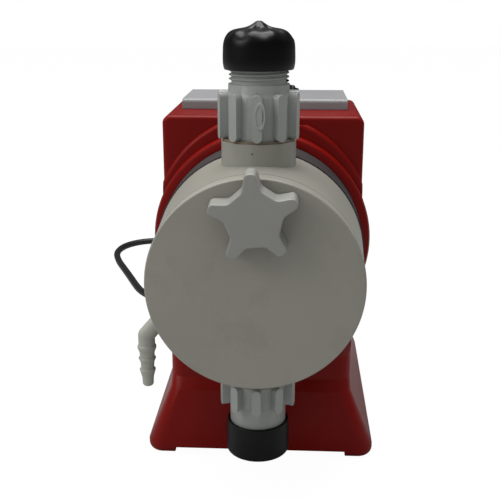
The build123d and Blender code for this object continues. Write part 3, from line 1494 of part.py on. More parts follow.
with BuildPart() as board_parts:
    # transformer, two capacitors and a row of drivers on the board
    board_face = across(BOARD_Y - BOARD_T)
    with BuildSketch(board_face):
        with Locations((-18, 60)):
            Rectangle(28, 24)
    extrude(amount=16)
    with BuildSketch(board_face):
        with Locations((16, 56), (30, 56)):
            Circle(5.5)
    extrude(amount=15)
    with BuildSketch(board_face):
        with Locations((-24, 116), (0, 116), (24, 116)):
            Rectangle(14, 8)
    extrude(amount=5)
board_parts.part.label = "board_parts"
export_step(board_parts.part, "parts/board_parts.step")


# ---- sockets, blank and gland -------------------------------------------
def panel_socket(x, pin_count):
    """Round signal socket: threaded sleeve, hexagon collar and contact pins."""
    mouth_y = HOUSING_REAR_Y + SOCKET_L
    with BuildPart() as socket:
        with BuildSketch(across(COVER_PLATE_Y - WALL)):
            with Locations((x, SOCKET_Z)):
                Circle(SOCKET_R)
        extrude(amount=-(mouth_y - COVER_PLATE_Y + WALL))
        with BuildSketch(across(HOUSING_REAR_Y)):
            with Locations((x, SOCKET_Z)):
                RegularPolygon(SOCKET_NUT_R, 6)
        extrude(amount=-SOCKET_NUT_T)
        with BuildSketch(across(mouth_y)):
            with Locations((x, SOCKET_Z)):
                Circle(SOCKET_ROOM_R)
        extrude(amount=SOCKET_ROOM, mode=Mode.SUBTRACT)
        with BuildSketch(across(mouth_y - SOCKET_ROOM)):
            with Locations((x, SOCKET_Z)):
                with PolarLocations(PIN_RING_R, pin_count):
                    Circle(PIN_R)
        extrude(amount=-PIN_L)
    return socket


control_socket = panel_socket(-SOCKET_X, CONTROL_PIN_COUNT)
control_socket.part.label = "control_socket"
export_step(control_socket.part, "parts/control_socket.step")

level_socket = panel_socket(SOCKET_X, LEVEL_PIN_COUNT)
level_socket.part.label = "level_socket"
export_step(level_socket.part, "parts/level_socket.step")

with BuildPart() as option_blank:
    with BuildSketch(across(COVER_PLATE_Y)):
        with Locations((0, BLANK_Z)):
            Circle(SOCKET_R)
    extrude(amount=-COVER_T)
    with BuildSketch(across(HOUSING_REAR_Y)):
        with Locations((0, BLANK_Z)):
            Circle(SOCKET_NUT_R)
    extrude(amount=-SOCKET_NUT_T)
    blank_rim = option_blank.edges().filter_by(GeomType.CIRCLE).sort_by(Axis.Y)[-1]
    fillet(blank_rim, 1.0)
option_blank.part.label = "option_blank"
export_step(option_blank.part, "parts/option_blank.step")

GLAND_AXIS = Axis((GLAND_X, 0, GLAND_Z), (0, 1, 0))
GLAND_TIP_Y = HOUSING_REAR_Y + GLAND_NUT_T + GLAND_L
with BuildPart() as mains_gland:
    with BuildSketch(across(COVER_PLATE_Y - WALL)):
        with Locations((GLAND_X, GLAND_Z)):
            Circle(GLAND_NUT_R - 3)
    extrude(amount=-(COVER_T + WALL))
    with BuildSketch(across(HOUSING_REAR_Y)):
        with Locations((GLAND_X, GLAND_Z)):
            RegularPolygon(GLAND_NUT_R, 6)
    extrude(amount=-GLAND_NUT_T)
    # tapered strain relief
    with BuildSketch(Plane.YZ.offset(GLAND_X)):
        with BuildLine():
            Polyline(
                (HOUSING_REAR_Y + GLAND_NUT_T, GLAND_Z),
                (HOUSING_REAR_Y + GLAND_NUT_T, GLAND_Z + GLAND_NUT_R - 3.5),
                (HOUSING_REAR_Y + GLAND_NUT_T + 3, GLAND_Z + GLAND_NUT_R - 4),
                (GLAND_TIP_Y, GLAND_Z + GLAND_TIP_R),
                (GLAND_TIP_Y, GLAND_Z),
                close=True,
            )
        make_face()
    revolve(axis=GLAND_AXIS)
mains_gland.part.label = "mains_gland"
export_step(mains_gland.part, "parts/mains_gland.step")

# ---- mains lead ----------------------------------------------------------
# It leaves the gland, drops to the table, runs out to the left, turns back
# and is wound up behind the pump. Its far end has an angled mains plug.
ROUTE_Z = CORD_R + FIT
WOUND_R = WOUND_MID_R + (WOUND_WIDE - 1) * CORD_R
lead_dir = Vector(1, 0, 0).rotate(Axis.Z, WOUND_HEADING)
lead_side = Vector(0, 1, 0).rotate(Axis.Z, WOUND_HEADING)
touch_point = Vector(WOUND_X, WOUND_Y, 0) - lead_side * (WOUND_R - FIT * 4)
lead_in = touch_point - lead_dir * WOUND_LEAD + Vector(0, 0, ROUTE_Z)
lead_out = touch_point + lead_dir * WOUND_LEAD + Vector(0, 0, 3 * CORD_R)

ROUTE = (
    (GLAND_X, GLAND_TIP_Y, GLAND_Z),
    (GLAND_X, 122.5, GLAND_Z),
    (-5.0, 138.5, 47.0),
    (-17.5, 149.5, 39.5),
    (-33.5, 153.5, 29.0),
    (-51.5, 154.0, 16.5),
    (-67.0, 153.0, 7.6),
    (-82.5, 153.0, 3.3),
    (-96.2, 157.3, ROUTE_Z),
    (-106.0, 167.5, ROUTE_Z),
    (-112.5, 180.5, ROUTE_Z),
    (-119.8, 198.0, ROUTE_Z),
    (-130.5, 223.0, ROUTE_Z),
    (-142.0, 249.0, ROUTE_Z),
    (-149.5, 276.0, ROUTE_Z),
    (-143.5, 301.0, ROUTE_Z),
    (-123.0, 315.5, ROUTE_Z),
    (-98.0, 313.0, ROUTE_Z),
    (-79.0, 297.0, ROUTE_Z),
    (-68.0, 270.0, ROUTE_Z),
    tuple(lead_in - lead_dir * 30.0),
    tuple(lead_in),
)


def corner_radii(points):
    """Radius of each corner's arc: 0.45 of the shorter run over tan(turn / 2)."""
    radii = []
    corners = [Vector(*point) for point in points]
    for before, corner, after in zip(corners, corners[1:], corners[2:]):
        arriving, leaving = corner - before, after - corner
        half_turn = math.radians(arriving.get_angle(leaving) / 2)
        shorter = min(arriving.length, leaving.length)
        radii.append(0.45 * shorter / math.tan(half_turn))
    return radii


route_radii = corner_radii(ROUTE)
print("cord radii, mm:", [round(r) for r in route_radii])
with BuildPart() as power_cord:
    with BuildLine():
        cord_path = FilletPolyline(*ROUTE, radius=route_radii)
    with BuildSketch(Plane(origin=cord_path @ 0, z_dir=cord_path % 0)):
        Circle(CORD_R)
    sweep()
power_cord.part.label = "power_cord"
export_step(power_cord.part, "parts/power_cord.step")
print("cord length, mm:", round(cord_path.length))
print("cord volume ratio:", power_cord.part.volume / (math.pi * CORD_R**2 * cord_path.length))

with BuildPart() as cord_coil:
    # outer shape of the turns, with the straight ends that leave them
    with BuildSketch(Plane.XZ.offset(-WOUND_Y)):
        with Locations((WOUND_X + WOUND_MID_R, WOUND_HIGH * CORD_R + FIT)):
            RectangleRounded(
                2 * WOUND_WIDE * CORD_R, 2 * (WOUND_HIGH * CORD_R + FIT), CORD_R - FIT
            )
    revolve(axis=Axis((WOUND_X, WOUND_Y, 0), (0, 0, 1)))
    with BuildSketch(Plane(origin=lead_in, z_dir=lead_dir)):
        Circle(CORD_R)
    extrude(amount=WOUND_LEAD)
    with BuildSketch(Plane(origin=lead_out, z_dir=-lead_dir)):
        Circle(CORD_R)
    extrude(amount=WOUND_LEAD)
cord_coil.part.label = "cord_coil"
export_step(cord_coil.part, "parts/cord_coil.step")

tail_points = [lead_out]
tail_heading = lead_dir
for _ in range(3):
    tail_points.append(tail_points[-1] + tail_heading * TAIL_RUN)
    tail_heading = tail_heading.rotate(Axis.Z, TAIL_TURN)
plug_dir = (tail_points[-1] - tail_points[-2]).normalized()
tail_radii = corner_radii([tuple(point) for point in tail_points])
print("tail radii, mm:", [round(r) for r in tail_radii])
with BuildPart() as cord_tail:
    with BuildLine():
        tail_path = FilletPolyline(*tail_points, radius=tail_radii)
    with BuildSketch(Plane(origin=tail_path @ 0, z_dir=tail_path % 0)):
        Circle(CORD_R)
    sweep()
cord_tail.part.label = "cord_tail"
export_step(cord_tail.part, "parts/cord_tail.step")
print("tail length, mm:", round(tail_path.length))

plug_centre = tail_points[-1] + plug_dir * (PLUG_NOSE_L + PLUG_R)
with BuildPart() as mains_plug:
    # angled round plug on its back, its pins up and its nose to the side
    with BuildSketch(Plane.XY):
        with Locations((plug_centre.X, plug_centre.Y)):
            Circle(PLUG_R)
    extrude(amount=PLUG_T)
    fillet(mains_plug.edges().filter_by(GeomType.CIRCLE), PLUG_EDGE)
    with BuildSketch(Plane(origin=tail_points[-1], z_dir=plug_dir)):
        Circle(CORD_R + 1)
    with BuildSketch(Plane(origin=tail_points[-1] + plug_dir * (PLUG_NOSE_L + 4), z_dir=plug_dir)):
        Circle(PLUG_NOSE_R)
    loft()
    with BuildSketch(Plane.XY.offset(PLUG_T)):
        with Locations((plug_centre.X, plug_centre.Y)):
            with GridLocations(PLUG_PIN_PITCH, 0, 2, 1):
                Circle(PLUG_PIN_R)
    extrude(amount=PLUG_PIN_L)
    pin_tips = mains_plug.faces().filter_by(Axis.Z).group_by(Axis.Z)[-1].edges()
    fillet(pin_tips, PLUG_PIN_R / 2)
mains_plug.part.label = "mains_plug"
export_step(mains_plug.part, "parts/mains_plug.step")
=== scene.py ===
# %% [markdown]
# # A solenoid diaphragm metering pump, dressed
# The solids of the pump come packed from its part source. This lesson loads
# them, sets a camera and soft light, and then gives every piece its finish:
# moulded plastics, a glossy red housing, vinyl caps, rubber lead and steel.

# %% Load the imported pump
import json
import math
import bmesh
import bpy
from mathutils import Matrix, Vector

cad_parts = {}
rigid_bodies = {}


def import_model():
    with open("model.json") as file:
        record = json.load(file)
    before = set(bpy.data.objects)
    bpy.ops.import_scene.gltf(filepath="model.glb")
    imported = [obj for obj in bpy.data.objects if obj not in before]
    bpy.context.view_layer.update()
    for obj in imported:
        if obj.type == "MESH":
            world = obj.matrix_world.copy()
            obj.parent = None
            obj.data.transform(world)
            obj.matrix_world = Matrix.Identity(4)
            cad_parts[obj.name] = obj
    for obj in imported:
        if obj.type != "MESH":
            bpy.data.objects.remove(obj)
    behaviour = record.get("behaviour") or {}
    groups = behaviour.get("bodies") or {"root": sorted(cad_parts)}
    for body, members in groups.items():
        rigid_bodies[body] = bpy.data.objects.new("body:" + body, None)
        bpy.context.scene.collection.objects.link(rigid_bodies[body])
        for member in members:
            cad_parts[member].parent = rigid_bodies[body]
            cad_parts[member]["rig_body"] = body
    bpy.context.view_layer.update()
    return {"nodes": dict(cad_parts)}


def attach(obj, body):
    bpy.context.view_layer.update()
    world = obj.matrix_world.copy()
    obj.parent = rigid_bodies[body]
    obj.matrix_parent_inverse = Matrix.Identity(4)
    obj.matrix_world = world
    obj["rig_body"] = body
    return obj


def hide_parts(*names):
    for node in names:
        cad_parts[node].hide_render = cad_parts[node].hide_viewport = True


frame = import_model()
nodes = frame["nodes"]

MM = 0.001
DRIVE_Z = 115 * MM      # height of the drive axis
VALVE_Y = -95 * MM      # the valves' common axis


def placed(name, data):
    """An object that shows the data, linked to the scene."""
    item = bpy.data.objects.new(name, data)
    bpy.context.scene.collection.objects.link(item)
    return item


# %% [markdown]
# ## Camera
# The pump stands a little below eye level and the view is slightly from the
# right. A 60 mm lens at half a metre gives the perspective of a close product
# shot: the round liquid end looks nearly as wide as the base.

# %% Camera
FOCAL_LENGTH = 59.9     # in millimetres
CAMERA_AT = Vector((15.6, -464.1, 233.3)) * MM
CAMERA_LOOK = Vector((-0.0505, 0.9550, -0.2924))
camera_data = bpy.data.cameras.new("camera")
camera_data.lens = FOCAL_LENGTH
camera = placed("camera", camera_data)
camera.location = CAMERA_AT
camera.rotation_euler = CAMERA_LOOK.to_track_quat("-Z", "Y").to_euler()
bpy.context.scene.camera = camera
bpy.context.scene.view_settings.view_transform = "Standard"
print("camera at", [round(v, 4) for v in camera.location])


# %% [markdown]
# ## Light
# The room light comes mostly from above and a little from behind, so the tops
# of the drum and the bosses are pale and the front faces are quiet. One wide
# lamp overhead, one wide lamp in front at a low level, and an even world do it.
# Camera rays see a white surround. Glossy surfaces mirror a dimmer room.

# %% World and lamps
ROOM_LEVEL = 0.5        # even light from all round
MIRROR_LEVEL = 0.1      # the same room as glossy surfaces mirror it
world = bpy.data.worlds.new("surround")
bpy.context.scene.world = world
world.use_nodes = True
tree = world.node_tree
background = tree.nodes["Background"]
light_path = tree.nodes.new("ShaderNodeLightPath")
mirrored = tree.nodes.new("ShaderNodeMapRange")
mirrored.inputs["To Min"].default_value = ROOM_LEVEL
mirrored.inputs["To Max"].default_value = MIRROR_LEVEL
tree.links.new(light_path.outputs["Is Glossy Ray"], mirrored.inputs["Value"])
seen = tree.nodes.new("ShaderNodeMapRange")
seen.inputs["To Max"].default_value = 1.0
tree.links.new(light_path.outputs["Is Camera Ray"], seen.inputs["Value"])
tree.links.new(mirrored.outputs["Result"], seen.inputs["To Min"])
tree.links.new(seen.outputs["Result"], background.inputs["Strength"])
background.inputs["Color"].default_value = (1, 1, 1, 1)


def area_lamp(name, place, aim, size, watts, colour=(1, 1, 1)):
    """A wide square lamp at a place, turned to face aim. Both are in millimetres."""
    data = bpy.data.lights.new(name, "AREA")
    data.shape = "SQUARE"
    data.size = size * MM
    data.energy = watts
    data.color = colour
    lamp = placed(name, data)
    lamp.location = Vector(place) * MM
    lamp.rotation_euler = (Vector(aim) - Vector(place)).to_track_quat("-Z", "Y").to_euler()
    return lamp


overhead = area_lamp("overhead", (-60, 140, 1250), (0, -40, 110), 900, 17.5)
window = area_lamp("window", (-900, -500, 800), (0, -60, 110), 600, 5.0, (1.0, 0.99, 0.96))
print("lamps:", overhead.name, window.name)


# %% [markdown]
# ## Floor
# A white sheet under the pump. The camera sees it mostly as plain white, and
# the rest of its look is real diffuse white, so a soft contact shadow stays.

# %% Floor
FLOOR_SIZE = 4.0
FLOOR_DROP = 0.2 * MM   # below the feet
FLOOR_WHITE = 0.4
GLOW = 1.08
GLOW_SHARE = 0.9        # of what the camera sees
floor_mesh = bpy.data.meshes.new("floor")
sheet = bmesh.new()
bmesh.ops.create_grid(sheet, x_segments=1, y_segments=1, size=FLOOR_SIZE)
sheet.to_mesh(floor_mesh)
sheet.free()
floor = placed("floor", floor_mesh)
floor.location.z = -FLOOR_DROP
floor_look = bpy.data.materials.new("floor_white")
floor_look.use_nodes = True
tree = floor_look.node_tree
tree.nodes.clear()
output = tree.nodes.new("ShaderNodeOutputMaterial")
diffuse = tree.nodes.new("ShaderNodeBsdfDiffuse")
diffuse.inputs["Color"].default_value = (FLOOR_WHITE, FLOOR_WHITE, FLOOR_WHITE, 1)
glow = tree.nodes.new("ShaderNodeEmission")
glow.inputs["Strength"].default_value = GLOW
light_path = tree.nodes.new("ShaderNodeLightPath")
seen = tree.nodes.new("ShaderNodeMath")
seen.operation = "MULTIPLY"
seen.inputs[1].default_value = GLOW_SHARE
blend = tree.nodes.new("ShaderNodeMixShader")
tree.links.new(light_path.outputs["Is Camera Ray"], seen.inputs[0])
tree.links.new(seen.outputs[0], blend.inputs["Fac"])
tree.links.new(diffuse.outputs[0], blend.inputs[1])
tree.links.new(glow.outputs[0], blend.inputs[2])
tree.links.new(blend.outputs[0], output.inputs["Surface"])
floor_mesh.materials.append(floor_look)
print("floor laid at z", floor.location.z)


# %% [markdown]
# ## Finishes
# Most of the pump is injection moulded. Such a surface isn't one flat colour:
# it has broad, faint clouds from handling, and a very fine grain that breaks
# up its gloss. One function makes such a plastic from a colour, a roughness,
# the strength of its clouds and the size and depth of its grain. Noise is read
# at Object coordinates, so it stays in place on the piece.

# %% Moulded plastic
def moulded(name, colour, roughness, clouds=0.06, cloud_size=30, grain_size=0.6, grain_depth=0.02,
            stain=None, stain_share=0.0, coat=0.0, specular=0.5):
    """A moulded plastic or rubber. Sizes and depths are in millimetres."""
    look = bpy.data.materials.new(name)
    look.use_nodes = True
    tree = look.node_tree
    shader = tree.nodes["Principled BSDF"]
    shader.inputs["Specular IOR Level"].default_value = specular
    shader.inputs["Coat Weight"].default_value = coat
    shader.inputs["Coat Roughness"].default_value = 0.12
    place = tree.nodes.new("ShaderNodeTexCoord")
    cloud = tree.nodes.new("ShaderNodeTexNoise")
    cloud.inputs["Scale"].default_value = 1 / (cloud_size * MM)
    cloud.inputs["Detail"].default_value = 5
    tree.links.new(place.outputs["Object"], cloud.inputs["Vector"])
    tint = tree.nodes.new("ShaderNodeValToRGB")
    tint.color_ramp.elements[0].position = 0.3
    tint.color_ramp.elements[1].position = 0.7
    tint.color_ramp.elements[0].color = (*[c * (1 - clouds) for c in colour], 1)
    tint.color_ramp.elements[1].color = (*[c * (1 + clouds) for c in colour], 1)
    tree.links.new(cloud.outputs["Fac"], tint.inputs["Fac"])
    painted = tint.outputs["Color"]
    if stain:
        patch = tree.nodes.new("ShaderNodeTexNoise")
        patch.inputs["Scale"].default_value = 1 / (0.5 * cloud_size * MM)
        patch.inputs["Detail"].default_value = 8
        patch.inputs["Roughness"].default_value = 0.65
        tree.links.new(place.outputs["Object"], patch.inputs["Vector"])
        reach = tree.nodes.new("ShaderNodeMapRange")
        reach.inputs["From Min"].default_value = 0.56
        reach.inputs["From Max"].default_value = 0.78
        reach.inputs["To Max"].default_value = stain_share
        tree.links.new(patch.outputs["Fac"], reach.inputs["Value"])
        soil = tree.nodes.new("ShaderNodeMixRGB")
        soil.inputs["Color2"].default_value = (*stain, 1)
        tree.links.new(reach.outputs["Result"], soil.inputs["Fac"])
        tree.links.new(painted, soil.inputs["Color1"])
        painted = soil.outputs["Color"]
    tree.links.new(painted, shader.inputs["Base Color"])
    gloss = tree.nodes.new("ShaderNodeMapRange")
    gloss.inputs["To Min"].default_value = roughness * 0.88
    gloss.inputs["To Max"].default_value = min(1.0, roughness * 1.12)
    tree.links.new(cloud.outputs["Fac"], gloss.inputs["Value"])
    tree.links.new(gloss.outputs["Result"], shader.inputs["Roughness"])
    grain = tree.nodes.new("ShaderNodeTexNoise")
    grain.inputs["Scale"].default_value = 1 / (grain_size * MM)
    grain.inputs["Detail"].default_value = 3
    tree.links.new(place.outputs["Object"], grain.inputs["Vector"])
    bump = tree.nodes.new("ShaderNodeBump")
    bump.inputs["Strength"].default_value = 0.5
    bump.inputs["Distance"].default_value = grain_depth * MM
    tree.links.new(grain.outputs["Fac"], bump.inputs["Height"])
    tree.links.new(bump.outputs["Normal"], shader.inputs["Normal"])
    return look


def shade(r, g, b):
    """Linear colour from the 0 to 255 values that a screen shows."""
    values = []
    for value in (r, g, b):
        share = value / 255
        values.append(share / 12.92 if share <= 0.04045 else ((share + 0.055) / 1.055) ** 2.4)
    return tuple(values)


HEAD = moulded("head_plastic", shade(139, 138, 129), 0.42, clouds=0.05, cloud_size=45, grain_depth=0.012,
               stain=shade(128, 112, 88), stain_share=0.3)
COVER = moulded("cover_plastic", shade(141, 139, 130), 0.5, clouds=0.05, cloud_size=40, grain_depth=0.015,
                stain=shade(112, 102, 84), stain_share=0.35)
STAR = moulded("star_plastic", shade(138, 138, 134), 0.45, clouds=0.04, cloud_size=25, grain_depth=0.012)
VALVE = moulded("valve_plastic", shade(148, 151, 148), 0.34, clouds=0.06, cloud_size=20, grain_depth=0.012)
NOZZLE = moulded("nozzle_plastic", shade(158, 158, 150), 0.4, clouds=0.05, cloud_size=15)
RED = moulded("red_housing", shade(114, 12, 7), 0.36, clouds=0.08, cloud_size=60, grain_size=0.9,
              grain_depth=0.02, specular=0.13)
PANEL = moulded("panel_grey", shade(132, 132, 134), 0.45, clouds=0.04, cloud_size=40, grain_depth=0.02)
VINYL = moulded("cap_vinyl", shade(7, 7, 8), 0.34, clouds=0.2, cloud_size=12, grain_size=1.2,
                grain_depth=0.03, specular=0.22)
LOW_VINYL = moulded("low_cap_vinyl", shade(5, 6, 6), 0.46, clouds=0.15, cloud_size=12, grain_depth=0.02,
                    specular=0.25)
BACKING = moulded("backplate_dark", shade(52, 51, 53), 0.5, clouds=0.12, cloud_size=20)
RUBBER = moulded("black_rubber", shade(20, 20, 23), 0.5, clouds=0.15, cloud_size=10)
DARK = moulded("dark_plastic", shade(30, 31, 34), 0.4, clouds=0.1, cloud_size=14)
DIAL = moulded("dial_plastic", shade(26, 29, 38), 0.38, clouds=0.1, cloud_size=14)
GASKET = moulded("gasket_tan", shade(112, 100, 84), 0.6, clouds=0.15, cloud_size=6)
PTFE = moulded("ptfe_white", shade(225, 224, 218), 0.45, clouds=0.02)
CERAMIC = moulded("ball_ceramic", shade(236, 233, 226), 0.12, clouds=0.02, grain_depth=0.002, coat=0.4)
BOARD = moulded("board_green", shade(30, 88, 56), 0.3, clouds=0.12, cloud_size=8, coat=0.3)
print("plastics:", len(bpy.data.materials))


# %% [markdown]
# ## Metals and lamps
# Turned and zinc plated steel has fine scratches along its lathe marks. A
# stretched noise in the bump gives them. The winding is enamelled copper, and
# the three lamp lenses are clear coloured mouldings.

# %% Metals and lenses
def metal(name, colour, roughness, scratch=(1, 1, 12)):
    """Bare or plated metal with scratches drawn out across the given axis scales."""
    look = bpy.data.materials.new(name)
    look.use_nodes = True
    tree = look.node_tree
    shader = tree.nodes["Principled BSDF"]
    shader.inputs["Metallic"].default_value = 1.0
    place = tree.nodes.new("ShaderNodeTexCoord")
    stretch = tree.nodes.new("ShaderNodeMapping")
    stretch.inputs["Scale"].default_value = scratch
    marks = tree.nodes.new("ShaderNodeTexNoise")
    marks.inputs["Scale"].default_value = 400
    marks.inputs["Detail"].default_value = 6
    tree.links.new(place.outputs["Object"], stretch.inputs["Vector"])
    tree.links.new(stretch.outputs["Vector"], marks.inputs["Vector"])
    tint = tree.nodes.new("ShaderNodeValToRGB")
    tint.color_ramp.elements[0].color = (*[c * 0.85 for c in colour], 1)
    tint.color_ramp.elements[1].color = (*colour, 1)
    tree.links.new(marks.outputs["Fac"], tint.inputs["Fac"])
    tree.links.new(tint.outputs["Color"], shader.inputs["Base Color"])
    rub = tree.nodes.new("ShaderNodeMapRange")
    rub.inputs["To Min"].default_value = roughness * 0.7
    rub.inputs["To Max"].default_value = roughness * 1.3
    tree.links.new(marks.outputs["Fac"], rub.inputs["Value"])
    tree.links.new(rub.outputs["Result"], shader.inputs["Roughness"])
    bump = tree.nodes.new("ShaderNodeBump")
    bump.inputs["Strength"].default_value = 0.3
    bump.inputs["Distance"].default_value = 0.01 * MM
    tree.links.new(marks.outputs["Fac"], bump.inputs["Height"])
    tree.links.new(bump.outputs["Normal"], shader.inputs["Normal"])
    return look


STEEL = metal("zinc_steel", shade(190, 190, 188), 0.3)
COPPER = metal("copper_wire", shade(196, 122, 78), 0.35, scratch=(1, 40, 1))
BRASS = metal("plated_brass", shade(205, 172, 108), 0.28)


def lens_look(name, colour):
    """Clear coloured moulding of a signal lamp."""
    look = moulded(name, colour, 0.12, clouds=0.05, cloud_size=4, grain_depth=0.002, coat=0.5)
    look.node_tree.nodes["Principled BSDF"].inputs["Transmission Weight"].default_value = 0.35
    return look


LENS_GREEN = lens_look("lens_green", shade(30, 140, 60))
LENS_YELLOW = lens_look("lens_yellow", shade(215, 170, 30))
LENS_RED = lens_look("lens_red", shade(190, 30, 24))
print("materials:", len(bpy.data.materials))


# %% [markdown]
# ## Finished copies
# Each CAD solid is exact but knife-edged. A real moulding or turned part has a
# small radius on every edge, which catches the light. A finished copy is the
# solid's mesh with its loose triangles merged, flat areas joined, and a small
# bevel on its edges. It replaces the solid and rides on the same body.

# %% Helper for finished copies
MERGE_WITHIN = 0.0005 * MM
FLAT_WITHIN = math.radians(0.3)
SMOOTH_BELOW = math.radians(40)


def finished(node, look, edge=0.4, corner=32, segments=2, reshape=None):
    """Copy of a CAD node with softened edges. The edge radius is in millimetres."""
    source = nodes[node]
    form = bmesh.new()
    form.from_mesh(source.data)
    bmesh.ops.remove_doubles(form, verts=form.verts, dist=MERGE_WITHIN)
    bmesh.ops.dissolve_limit(form, angle_limit=FLAT_WITHIN, verts=form.verts, edges=form.edges)
    if reshape:
        for vertex in form.verts:
            reshape(vertex)
    mesh = bpy.data.meshes.new(node + "_finished")
    form.to_mesh(mesh)
    form.free()
    piece = placed(node + "_finished", mesh)
    mesh.materials.clear()
    mesh.materials.append(look)
    mesh.shade_smooth()
    mesh.set_sharp_from_angle(angle=math.radians(corner))
    if edge:
        soften = piece.modifiers.new("soft_edges", "BEVEL")
        soften.width = edge * MM
        soften.segments = segments
        soften.limit_method = "ANGLE"
        soften.angle_limit = math.radians(corner)
        soften.harden_normals = True
    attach(piece, source["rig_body"])
    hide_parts(node)
    return piece


def plain(look, *names):
    """Gives CAD nodes that stay as they are their finish."""
    for name in names:
        mesh = nodes[name].data
        mesh.materials.clear()
        mesh.materials.append(look)
        for polygon in mesh.polygons:
            polygon.material_index = 0


# %% [markdown]
# ## Housing
# The red body is one glossy moulding with the rear cover screwed to it. Its
# edges are rounded by about a millimetre.

# %% Housing and its cover
housing = finished("drive_housing", RED, edge=0.9, segments=3)
finished("rear_cover", RED, edge=0.5)
# The base plate is dark plastic, and in the gap under the skirt between the feet its dark colour also
# serves as painted shade.
finished("base_plate", DARK, edge=0.3)
plain(STEEL, "base_screws", "board_standoffs")
finished("cover_screws", STEEL, edge=0.15)
print("housing faces:", len(housing.data.polygons))

# %% [markdown]
# ## Liquid end
# The drum, its cover, the star knob, the dark ring behind them and the hose
# nozzle are mouldings in slightly different greys.

# %% Liquid end
drum = finished("dosing_head", HEAD, edge=0.5)
front_cover = finished("head_cover", COVER, edge=0.3)
finished("bleed_knob", STAR, edge=0.3)
finished("backplate", BACKING, edge=0.4)
finished("hose_nozzle", NOZZLE, edge=0.25)
print("liquid end faces:", len(drum.data.polygons) + len(front_cover.data.polygons))

# %% [markdown]
# ## Valves
# Each valve ends in a G 3/4 pipe thread, 1.814 mm from crest to crest. The
# solid has a plain neck there, so the finished copy's neck is turned down to
# the root of the thread, and the thread is wound on it as a helix: one turn's
# V-shaped section is spun round the axis and moved by one pitch per turn.

# %% Threaded valves
THREAD_START, THREAD_END = 81.9 * MM, 95.2 * MM     # from the drive axis
THREAD_R = 13.22 * MM
THREAD_DEPTH = 1.16 * MM
PITCH = 1.814 * MM
THREAD_STEPS = 60       # per turn
THREAD_SINK = 0.3 * MM  # of the root, in the neck
NECK_SLACK = 0.1 * MM


def neck_turner(side):
    """Moves a valve's plain neck in to the root of its thread."""
    def reshape(vertex):
        reach = side * (vertex.co.z - DRIVE_Z)
        out = Vector((vertex.co.x, vertex.co.y - VALVE_Y, 0))
        if reach > THREAD_START - NECK_SLACK and out.length > THREAD_R - THREAD_DEPTH:
            out.length = THREAD_R - THREAD_DEPTH
            vertex.co.x = out.x
            vertex.co.y = VALVE_Y + out.y
    return reshape


def new_piece(name, form, look, body="pump"):
    """A piece of the scene's own, from a bmesh that is in the shared frame."""
    bmesh.ops.recalc_face_normals(form, faces=form.faces)
    mesh = bpy.data.meshes.new(name)
    form.to_mesh(mesh)
    form.free()
    mesh.materials.append(look)
    mesh.shade_smooth()
    mesh.set_sharp_from_angle(angle=SMOOTH_BELOW)
    piece = placed(name, mesh)
    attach(piece, body)
    return piece


def pipe_thread(name, side):
    """The helical thread of one valve."""
    form = bmesh.new()
    root, crest = THREAD_R - THREAD_DEPTH, THREAD_R
    sunk = root - THREAD_SINK
    section = ((sunk, 0.0), (root, 0.06), (crest, 0.42), (crest, 0.58), (root, 0.94), (sunk, 1.0))
    start = side * THREAD_START
    points = [form.verts.new((r, VALVE_Y, DRIVE_Z + start + side * share * PITCH)) for r, share in section]
    lines = [form.edges.new(pair) for pair in zip(points, points[1:])]
    turns = (THREAD_END - THREAD_START - PITCH) / PITCH
    steps = int(turns * THREAD_STEPS)
    bmesh.ops.spin(
        form,
        geom=points + lines,
        cent=(0, VALVE_Y, 0),
        axis=(0, 0, 1),
        dvec=(0, 0, side * PITCH / THREAD_STEPS),
        angle=side * 2 * math.pi * steps / THREAD_STEPS,
        steps=steps,
        use_merge=False,
    )
    return new_piece(name, form, VALVE)


finished("discharge_valve", VALVE, edge=0.5, reshape=neck_turner(1))
finished("suction_valve", VALVE, edge=0.5, reshape=neck_turner(-1))
upper_thread = pipe_thread("discharge_thread", 1)
pipe_thread("suction_thread", -1)
plain(GASKET, "discharge_gasket", "suction_gasket")
plain(PTFE, "discharge_seat", "suction_seat", "diaphragm")
plain(VALVE, "discharge_cage", "suction_cage", "bleed_spindle")
plain(CERAMIC, "discharge_ball", "suction_ball")
print("thread faces:", len(upper_thread.data.polygons))

# %% [markdown]
# ## Caps
# The top cap is dipped vinyl: glossy, with a little nipple where it dripped
# off its former and shallow puckers round the shoulder. The bottom cap is a
# plain moulded cup.

# %% Caps
PUCKER_START = 100 * MM
PUCKERS = 9
PUCKER_DEPTH = 0.22 * MM
PUCKER_FADE = 3 * MM


def pucker(vertex):
    """Draws the shoulder of the dipped cap in along a few shallow creases."""
    reach = vertex.co.z - DRIVE_Z
    out = Vector((vertex.co.x, vertex.co.y - VALVE_Y, 0))
    if reach > PUCKER_START and out.length > PUCKER_FADE:
        depth = PUCKER_DEPTH * (1 + math.cos(PUCKERS * math.atan2(out.y, out.x)))
        share = min(1.0, (reach - PUCKER_START) / PUCKER_FADE)
        share *= min(1.0, (out.length - PUCKER_FADE) / PUCKER_FADE)
        out.length -= depth * share
        vertex.co.x = out.x
        vertex.co.y = VALVE_Y + out.y
        vertex.co.z -= depth * share


finished("discharge_cap", VINYL, edge=0.4, reshape=pucker)
finished("suction_cap", LOW_VINYL, edge=0.4)
print("puckers:", PUCKERS)

# %% [markdown]
# ## Mould marks and seams
# The front rib of the upper valve carries a raised oval from the mould, the
# boss under it has the dark speck of an ejector, and dirt has settled in the
# seam between the cover and the drum.

# %% Mould marks and seams
MARK_R, MARK_WIRE_R = 2.0 * MM, 0.4 * MM
MARK_TALL = 2.6         # height of the oval over its width
MARK_AT = Vector((1.2, -113.1, DRIVE_Z / MM + 69.4)) * MM
SPECK_R, SPECK_T = 0.4 * MM, 0.12 * MM
SPECK_AT = Vector((-2.1, -111.56, DRIVE_Z / MM + 53.3)) * MM
UPRIGHT = Matrix.Rotation(math.radians(90), 4, "X")


